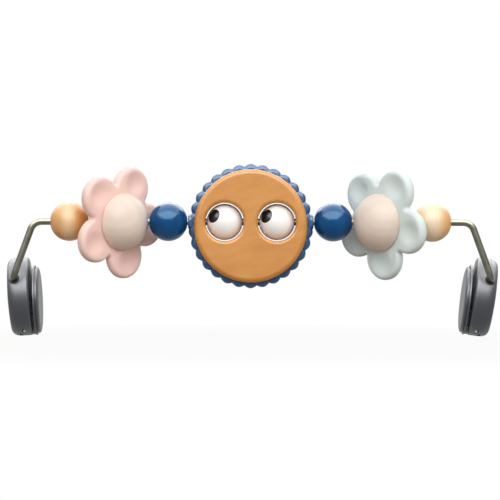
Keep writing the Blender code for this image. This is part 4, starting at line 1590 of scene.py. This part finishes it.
@dataclass
class Eyes:
    """The two white eye balls on the bar, each with its inlaid black pupil."""

    radius: float = 0.01624
    mouth: float = 0.0005
    pupil_radius: float = 0.00609
    pupil_depth: float = 0.003
    gaze: tuple[float, float, float] = (-0.63, -0.70, 0.34)

    def build(self) -> None:
        """Build both eyes."""
        white = LacquerFinish(
            "white_lacquer", (251, 250, 249), (249, 247, 246), roughness=0.3, coat=0.0, gloss=0.22
        ).material()
        black = LacquerFinish(
            "black_lacquer", (26, 24, 23), (20, 19, 18), roughness=0.25, coat=0.1, gloss=0.2
        ).material()
        turn = Vector(self.gaze).normalized().to_track_quat("Z", "Y").to_matrix().to_4x4()
        floor = self.radius - self.pupil_depth
        reach = math.asin(self.pupil_radius / self.radius)
        cap = arc((0, 0), self.radius, QUARTER - reach, QUARTER, 10)
        plug = [(0, floor), (self.pupil_radius, floor), *cap[:-1], (0, self.radius)]
        pocket = rod(self.pupil_radius + GAP, floor - GAP, self.radius + OVERRUN)
        for side in Side:
            place = row_place(side.value * EYE_SPAN)
            name, body = f"{side.label}_white_eye", f"{side.label}_eye"
            ball = turned(name, bead_profile(self.radius, self.mouth), place @ ALONG_X)
            cutter = turned("pupil_pocket", pocket, place @ turn, Steps.POCKET)
            ball = carve(ball, (Cut.REMOVE, cutter))
            add_piece(name, ball, white, "white_lacquer", body, f"{body}_ball")
            name = f"{side.label}_black_pupil"
            mesh = turned(name, plug, place @ turn, Steps.POCKET)
            add_piece(name, mesh, black, "black_lacquer", body, f"{side.label}_pupil")


@dataclass
class Clip:
    """One seat clip: a round drum that turns on the wire, with its cover, pads and sprung jaw."""

    kit: Kit
    side: Side
    tilt: float
    radius: float = 0.03575
    depth: float = 0.0193
    taper_depth: float = 0.0085
    taper: float = 0.0051
    corner: float = 0.0026
    rim_ease: float = 0.0004
    cover_radius: float = 0.03005
    cover_inset: float = 0.0013
    cover_ledge: float = 0.0022
    cover_bulge: float = 0.002
    floor: float = 0.0032
    socket_rise: float = 0.0171
    socket_depth: float = 0.0128
    socket_wall: float = 0.0038
    socket_rim_radius: float = 0.0052
    socket_rim_depth: float = 0.0016
    jaw_drop: float = 0.0037
    jaw_radius: float = 0.032
    jaw_ease: float = 0.0005
    jaw_thickness: float = 0.0056
    ridge: float = 0.0019
    groove: float = 0.0012
    groove_depth: float = 0.003
    ridge_step: float = 0.0018
    edge_width: float = 0.006
    edge_depth: float = 0.0021
    jaw_depth: float = 0.0099
    rest_opening: float = math.radians(1.3)
    hinge_depth: float = 0.008
    hinge_drop: float = 0.0312
    hinge_room: float = 0.0041
    pin_radius: float = 0.0015
    pin_ease: float = 0.0003
    knuckle_radius: float = 0.0036
    lug_width: float = 0.0125
    arm_width: float = 0.006
    block_height: float = 0.0042
    spring_width: float = 0.005
    spring_radius: float = 0.0028
    spring_wire: float = 0.0009
    spring_reach: float = 0.0068
    spring_turns: float = 4.5
    pad_radius: float = 0.02002
    pad_thickness: float = 0.0012
    pad_rise: float = 0.002
    pad_ease: float = 0.0003
    pad_grooves: int = 7
    pad_groove_radius: float = 0.00045

    def swivel(self) -> Matrix:
        """Place the clip's swivel axis at rest."""
        spot = (self.side.value * SOCKET_SPAN, 0, self.socket_rise)
        return Matrix.Translation(spot) @ Matrix.Rotation(self.tilt, 4, "Y")

    def disc(self) -> Matrix:
        """Place the clip's disc.

        Returns:
            Its frame, X upwards and Z towards the seat's middle.
        """
        side = self.side.value
        turn = Matrix(((0, 0, -side), (0, side, 0), (1, 0, 0))).to_4x4()
        shift = Matrix.Translation((-side * self.socket_depth, 0, -self.socket_rise))
        return self.swivel() @ shift @ turn

    def pin(self) -> Matrix:
        """Place the hinge pin's middle."""
        return self.disc() @ Matrix.Translation((-self.hinge_drop, 0, -self.hinge_depth))

    def hinge(self) -> Matrix:
        """Place the jaw's frame at rest, on the hinge pin."""
        return self.pin() @ Matrix.Rotation(-self.rest_opening, 4, "Y")

    def drum_profile(self) -> list[Point]:
        """Give the drum's profile, with the cover's seat in its outer side.

        Returns:
            The closed profile, in the disc's frame.
        """
        radius, corner, ease = self.radius, self.corner, self.rim_ease
        profile = [(0, 0), *arc((radius - corner, -corner), corner, QUARTER, 0, 6)]
        straight, steps = self.depth - self.taper_depth, 11
        for step in range(steps):
            angle = QUARTER * step / steps
            inset = self.taper * (1 - math.cos(angle))
            profile.append((radius - inset, -straight - self.taper_depth * math.sin(angle)))
        rim = self.cover_radius + ease
        profile += arc((rim, ease - self.depth), ease, -math.pi / 3, -math.pi, 4)
        seat = self.depth - self.cover_inset
        return [*profile, (self.cover_radius, -seat), (0, -seat)]

    def hollow(self, front: int) -> list[Point]:
        """List the outline of the drum's hollow, which leaves the wire's and the hinge's blocks.

        Args:
            front: Which way along the disc's Y the viewer is, 1 or -1.

        Returns:
            The (x, y) points, in the disc's frame.
        """
        radius = self.cover_radius - self.cover_ledge
        bottom = self.hinge_room + self.block_height - self.hinge_drop
        block_bottom = self.socket_rise - BORE_RADIUS - self.socket_wall
        block_end = BAR_FORWARD - RETAINER_PLACE + GAP
        low = math.acos(bottom / radius)
        outline = arc((0, 0), radius, math.asin(block_end / radius), -low, 32)
        outline += arc((0, 0), radius, low, math.acos(block_bottom / radius), 8)
        outline.append((block_bottom, block_end))
        return [(up, front * across) for up, across in outline]

    def notch(self, low: float, high: float, reach: float) -> bpy.types.Mesh:
        """Make the cutter that opens the drum's bottom for the hinge.

        Args:
            low: Where the opening starts along the pin.
            high: Where it ends.
            reach: How far it goes outwards from the pin.

        Returns:
            The cutter.
        """
        lower = (-self.radius - OVERRUN, low, -self.hinge_depth - reach)
        upper = (self.hinge_room - self.hinge_drop, high, OVERRUN)
        return block("hinge_notch", lower, upper, self.disc())

    def pad_profile(self) -> list[Point]:
        """Give a grip pad's profile, with round grooves in its face.

        Returns:
            The closed profile, the face at height zero.
        """
        radius, ease = self.pad_radius, self.pad_ease
        points = [(0, -self.pad_thickness), (radius, -self.pad_thickness)]
        points += arc((radius - ease, -ease), ease, 0, QUARTER, 4)
        pitch = radius / (self.pad_grooves + 1)
        for groove in range(self.pad_grooves, 0, -1):
            points += arc((groove * pitch, 0), self.pad_groove_radius, 0, -math.pi, 6)
        return [*points, (0, 0)]

    def pad_seat(self, place: Matrix) -> tuple[Cut, bpy.types.Mesh]:
        """Cut a grip pad's shallow seat at its place."""
        profile = rod(self.pad_radius + GAP, -self.pad_thickness - GAP, OVERRUN)
        return Cut.REMOVE, turned("pad_seat", profile, place)

    def cover_profile(self) -> list[Point]:
        """Give the domed outer cover's profile.

        Returns:
            The closed profile, in the disc's frame.
        """
        radius = self.cover_radius - GAP
        floor = -(self.depth - self.cover_inset) - GAP
        curve = (radius**2 + self.cover_bulge**2) / (2 * self.cover_bulge)
        reach = math.asin(radius / curve)
        centre = (0, curve - self.depth - self.cover_bulge)
        dome = arc(centre, curve, reach - QUARTER, -QUARTER, 20)
        return [(0, floor), (radius, floor), *dome[:-1], (0, dome[-1][1])]

    def jaw_profile(self) -> list[Point]:
        """Give the jaw's profile, with the two ridges of its rim.

        Returns:
            The closed profile, from the slot's face towards the seat's middle.
        """
        radius, ease = self.jaw_radius, self.jaw_ease
        inner, second = radius - self.groove_depth, radius - self.ridge_step
        near, far, top = self.ridge, self.ridge + self.groove, self.jaw_thickness
        profile = [(0, 0), *arc((radius - ease, ease), ease, -QUARTER, 0, 4)]
        profile += arc((radius - ease, near - ease), ease, 0, QUARTER, 4)
        profile += [(inner, near), (inner, far)]
        profile += arc((second - ease / 4, far + ease / 4), ease / 4, -QUARTER, 0, 2)
        rim, shoulder, steps = second - self.edge_width, top - self.edge_depth, 12
        for step in range(steps + 1):
            angle = QUARTER * step / steps
            across = rim + self.edge_width * math.cos(angle)
            profile.append((across, shoulder + self.edge_depth * math.sin(angle)))
        return [*profile, (0, top)]

    def arm(self, facing: int) -> bpy.types.Mesh:
        """Make one arm of the jaw, from round the hinge pin to inside the plate.

        Args:
            facing: Which end of the pin it is at, 1 or -1.

        Returns:
            The arm's mesh.
        """
        radius = self.knuckle_radius
        start = self.lug_width / 2 + GAP
        outline = arc((0, 0), radius, 0, -math.pi, 24)
        reach = self.jaw_depth + self.ridge
        outline += [(-radius, reach), (radius, reach)]
        end = start + self.arm_width
        return prism("jaw_arm", outline, -facing * start, -facing * end, self.hinge() @ TO_VIEWER)

    def build_drum(self, grey: bpy.types.Material, rubber: bpy.types.Material) -> None:
        """Build the drum, its cover and its pad.

        Args:
            grey: The clips' plastic.
            rubber: The pads' rubber.
        """
        disc, pin = self.disc(), self.pin()
        label, body = self.side.label, f"{self.side.label}_clip"
        front = -self.side.value
        drum = turned(f"{label}_drum", self.drum_profile(), disc, Steps.CLIP)
        deep = -(self.depth - self.cover_inset) - OVERRUN
        lug, half = self.lug_width / 2, self.spring_width / 2 + GAP
        cheek = lug + self.arm_width + 2 * GAP
        room, spring = self.hinge_room, self.spring_reach
        notches = ((lug, cheek, room), (-cheek, -lug, room), (-half, half, spring))
        hole = rod(self.pin_radius + GAP, -self.radius, self.radius)
        cuts = [prism("hollow", self.hollow(front), deep, -self.floor, disc)]
        cuts += [self.notch(*notch) for notch in notches]
        cuts.append(turned("pin_hole", hole, pin @ ALONG_Y, Steps.PIN))
        bore = disc @ Matrix.Translation((self.socket_rise, 0, -self.socket_depth)) @ ALONG_Y
        backset = math.sqrt(self.radius**2 - self.socket_rise**2) - self.socket_rim_depth
        block_end = BAR_FORWARD - RETAINER_PLACE
        for radius, start in ((BORE_RADIUS, block_end), (self.socket_rim_radius, backset)):
            ends = sorted((front * start, front * 2 * self.radius))
            cuts.append(turned("wire_bore", rod(radius, *ends), bore, Steps.POCKET))
        pad_place = disc @ Matrix.Translation((self.pad_rise, 0, 0))
        steps = [(Cut.REMOVE, tool) for tool in cuts]
        drum = softened(carve(drum, *steps, self.pad_seat(pad_place)))
        add_piece(f"{label}_drum", drum, grey, "grey_plastic", body, f"{label}_clip_drum")
        mesh = turned(f"{label}_drum_cover", self.cover_profile(), disc, Steps.CLIP)
        add_piece(f"{label}_drum_cover", mesh, grey, "grey_plastic", body, f"{label}_clip_cover")
        mesh = turned(f"{label}_drum_pad", self.pad_profile(), pad_place)
        add_piece(f"{label}_drum_pad", mesh, rubber, "grip_rubber", body, f"{label}_outer_pad")

    def build_hinge(self, steel: bpy.types.Material) -> None:
        """Build the hinge pin and the coil spring.

        Args:
            steel: The plated steel.
        """
        label, body = self.side.label, f"{self.side.label}_clip"
        reach = self.lug_width / 2 + GAP + self.arm_width
        pin = self.pin() @ ALONG_Y
        profile = rod(self.pin_radius, -reach, reach, self.pin_ease)
        mesh = turned(f"{label}_steel_pin", profile, pin, Steps.PIN)
        add_piece(f"{label}_steel_pin", mesh, steel, "plated_steel", body, f"{label}_hinge_pin")
        wire = self.spring_wire / 2
        coil = self.spring_radius - wire
        half = self.spring_width / 2 - wire
        low, high = GAP + wire - self.spring_reach, self.jaw_depth - GAP - wire
        ends = ((coil, -half, 0), (coil, -half, low), (-coil, half, 0), (-coil, half, high))
        legs = [ALONG_Y.inverted() @ Vector(end) for end in ends]
        line = guide(f"{label}_spring", legs, [(0, 1), (2, 3)])
        sizes = {"Coil Radius": coil, "Length": 2 * half, "Wire Radius": wire}
        values = {"Turns": self.spring_turns, "Material": steel, **sizes}
        mesh = self.kit.coil.run(line, values)
        mesh.transform(pin)
        add_piece(f"{label}_coil_spring", mesh, steel, "plated_steel", body, f"{label}_jaw_spring")

    def build_jaw(self, grey: bpy.types.Material, rubber: bpy.types.Material) -> None:
        """Build the jaw and its pad.

        Args:
            grey: The clips' plastic.
            rubber: The pads' rubber.
        """
        label, body = self.side.label, f"{self.side.label}_jaw"
        hinge = self.hinge()
        plate = hinge @ Matrix.Translation((self.hinge_drop - self.jaw_drop, 0, self.jaw_depth))
        jaw = turned(f"{label}_ridged_jaw", self.jaw_profile(), plate, Steps.CLIP)
        bore = rod(self.pin_radius + BORE_CLEARANCE, -self.radius, self.radius)
        trim = rod(self.radius, -self.radius, self.radius)
        trim_place = hinge @ Matrix.Translation((self.hinge_drop, 0, 0))
        pad_spot = (self.hinge_drop + self.pad_rise, 0, self.jaw_depth)
        pad_place = hinge @ Matrix.Translation(pad_spot) @ TURNED_OVER
        jaw = carve(
            jaw,
            (Cut.JOIN, self.arm(1)),
            (Cut.JOIN, self.arm(-1)),
            (Cut.REMOVE, turned("arm_bore", bore, hinge @ ALONG_Y, Steps.PIN)),
            (Cut.KEEP, turned("jaw_trim", trim, trim_place, Steps.CLIP)),
            self.pad_seat(pad_place),
        )
        add_piece(f"{label}_ridged_jaw", softened(jaw), grey, "grey_plastic", body, body)
        mesh = turned(f"{label}_jaw_pad", self.pad_profile(), pad_place)
        add_piece(f"{label}_jaw_pad", mesh, rubber, "grip_rubber", body, f"{label}_inner_pad")


# Studio


@dataclass
class Studio:
    """The pale floor, the soft lights and the camera."""

    view_from: tuple[float, float, float] = (-0.0021, -2.5, 0.0434)
    roll: float = math.radians(-0.15)
    lens: float = 196.87
    sensor: float = 36.0
    clip_start: float = 0.1
    target: tuple[float, float, float] = (0, 0, 0.05)
    tent_shift: float = -0.3
    tent_height: float = 1.5
    tent_width: float = 4.2
    tent_length: float = 3.8
    floor_height: float = -0.041
    floor_reach: float = 6.0
    floor_colour: Colour = (0.34, 0.28, 0.24)
    world_strength: float = 0.35

    def build(self) -> None:
        """Build the floor, the world, the lights and the camera."""
        self.build_floor()
        self.build_world()
        self.build_lights()
        self.build_camera()
        bpy.context.scene.view_settings.view_transform = "Standard"

    def build_lights(self) -> None:
        """Build the softboxes, which gloss doesn't show, and the tents, which only gloss shows."""
        for name, spot, size, power in (
            ("front_softbox", (-0.15, -1.93, 1.32), 1.5, 33),
            ("top_softbox", (0, -0.45, 1.85), 0.7, 4),
            ("right_fill", (1.75, -1.05, 0.65), 1.4, 13),
            ("left_fill", (-1.75, -1.05, 0.65), 1.4, 3.5),
        ):
            self.add_light(name, spot, self.target, size, power).visible_glossy = False
        for name, along, power in (("front_tent", -2.5, 620), ("rear_tent", 1.3, 240)):
            spot, below = (self.tent_shift, along, self.tent_height), (self.tent_shift, along, 0)
            tent = self.add_light(name, spot, below, self.tent_width, power)
            tent.data.shape = "RECTANGLE"
            tent.data.size_y = self.tent_length
            tent.visible_diffuse = False

    def build_camera(self) -> None:
        """Build the camera, level and looking along Y."""
        data = bpy.data.cameras.new("camera")
        data.lens = self.lens
        data.sensor_width = self.sensor
        data.clip_start = self.clip_start
        camera = bpy.data.objects.new("camera", data)
        bpy.context.scene.collection.objects.link(camera)
        camera.location = self.view_from
        camera.rotation_euler = (QUARTER, self.roll, 0)
        bpy.context.scene.camera = camera

    def build_floor(self) -> None:
        """Build the plain pale floor, white to the camera but for the object's shadow."""
        builder = bmesh.new()
        bmesh.ops.create_grid(builder, x_segments=4, y_segments=4, size=self.floor_reach)
        floor_mesh = mesh_from("floor", builder, Matrix.Translation((0, 0, self.floor_height)))
        material = bpy.data.materials.new("pale_floor")
        material.use_nodes = True
        tree = NodeTree(material.node_tree)
        material.node_tree.nodes.clear()
        seen = self.seen(tree)
        matt = tree.node("ShaderNodeBsdfDiffuse", None, {"Color": (*self.floor_colour, 1)})
        glow = tree.node("ShaderNodeEmission", None, {"Color": (1, 1, 1, 1), "Strength": 1.0})
        place = tree.node("ShaderNodeTexCoord", output="Object")
        away = tree.node("ShaderNodeVectorMath", {"operation": "LENGTH"}, {0: place}, "Value")
        white = away.step(0.25, 0.7) * 0.05 + 0.95
        mixed = tree.node("ShaderNodeMixShader", None, {0: seen * white, 1: matt, 2: glow})
        out = material.node_tree.nodes.new("ShaderNodeOutputMaterial")
        material.node_tree.links.new(mixed.socket, out.inputs["Surface"])
        floor_mesh.materials.append(material)
        floor = bpy.data.objects.new("floor", floor_mesh)
        bpy.context.scene.collection.objects.link(floor)

    def seen(self, tree: NodeTree) -> Signal:
        """Give 1 where a ray looks at the background, directly, by gloss or through glass.

        Args:
            tree: The tree that asks.

        Returns:
            The share, 0 or 1.
        """
        path = tree.node("ShaderNodeLightPath", output="Is Camera Ray")
        outputs = path.socket.node.outputs
        rest = Signal(tree, outputs["Is Glossy Ray"]) + Signal(tree, outputs["Is Transmission Ray"])
        return path.maths("MINIMUM", path + rest, 1.0)

    def build_world(self) -> None:
        """Build the world: soft grey light, white where it is looked at."""
        world = bpy.data.worlds.new("studio")
        world.use_nodes = True
        bpy.context.scene.world = world
        tree = NodeTree(world.node_tree)
        world.node_tree.nodes.clear()
        soft, white = (
            tree.node("ShaderNodeBackground", None, {"Color": (1, 1, 1, 1), "Strength": strength})
            for strength in (self.world_strength, 1.0)
        )
        mixed = tree.node("ShaderNodeMixShader", None, {0: self.seen(tree), 1: soft, 2: white})
        out = world.node_tree.nodes.new("ShaderNodeOutputWorld")
        world.node_tree.links.new(mixed.socket, out.inputs["Surface"])

    def add_light(
        self, name: str, spot: Sequence[float], target: Sequence[float], size: float, power: float
    ) -> bpy.types.Object:
        """Add a square soft light.

        Args:
            name: The light's name.
            spot: Where it stands.
            target: What it faces.
            size: Its side.
            power: Its power in watts.

        Returns:
            The light.
        """
        data = bpy.data.lights.new(name, "AREA")
        data.size = size
        data.energy = power
        light = bpy.data.objects.new(name, data)
        bpy.context.scene.collection.objects.link(light)
        light.visible_camera = False
        light.location = spot
        facing = Vector(target) - Vector(spot)
        light.rotation_euler = facing.to_track_quat("-Z", "Y").to_euler()
        return light


def main() -> None:
    """Build every sub-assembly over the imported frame, then the studio."""
    logging.basicConfig(level=logging.INFO, format="%(message)s")
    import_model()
    kit = Kit()
    WireBar(kit).build()
    BeadRow().build()
    for name, side, first_petal, colours in (
        ("pink", Side.LEFT, -79.5, ((247, 212, 202), (242, 205, 195), (248, 226, 218))),
        ("mint", Side.RIGHT, -84, ((217, 229, 226), (210, 223, 220), (228, 237, 234))),
    ):
        # Each plastic's third colour lightens the petal rims: edge wear plus a painted highlight.
        plastic = PlasticFinish(f"{name}_plastic", *colours, rub_strength=0.5, gloss=0.1)
        cream = WoodFinish(
            "cream_lacquer", (236, 222, 209), (230, 214, 200), (214, 192, 172),
            centre=tuple(row_place(0).translation), turn=(0, QUARTER, 0),
            heart=(0.03, 0.08), ring_count=180.0, ring_strength=0.4, blotch_strength=0.3,
            fibre_strength=0.2, roughness=0.5, coat=0.0, relief=0.00003, gloss=0.06,
        )
        Flower(kit, f"{name}_flower", side, math.radians(first_petal), plastic, cream).build()
    FaceDisc(kit).build()
    Eyes().build()
    # The third colour lightens the clips' edges and ridges: edge wear plus a painted highlight.
    grey = PlasticFinish(
        "grey_plastic", (34, 39, 48), (29, 33, 41), (112, 116, 120),
        roughness=0.36, rub_strength=0.3, gloss=0.6,
    ).material()
    rubber = RubberFinish("grip_rubber", (52, 54, 57), (92, 92, 92)).material()
    steel = MetalFinish("plated_steel", (190, 190, 186), (160, 160, 156), 0.3).material()
    for side, tilt in ((Side.LEFT, -4), (Side.RIGHT, 8)):
        clip = Clip(kit, side, math.radians(tilt))
        clip.build_drum(grey, rubber)
        clip.build_hinge(steel)
        clip.build_jaw(grey, rubber)
    Studio().build()


if __name__ == "__main__":
    main()
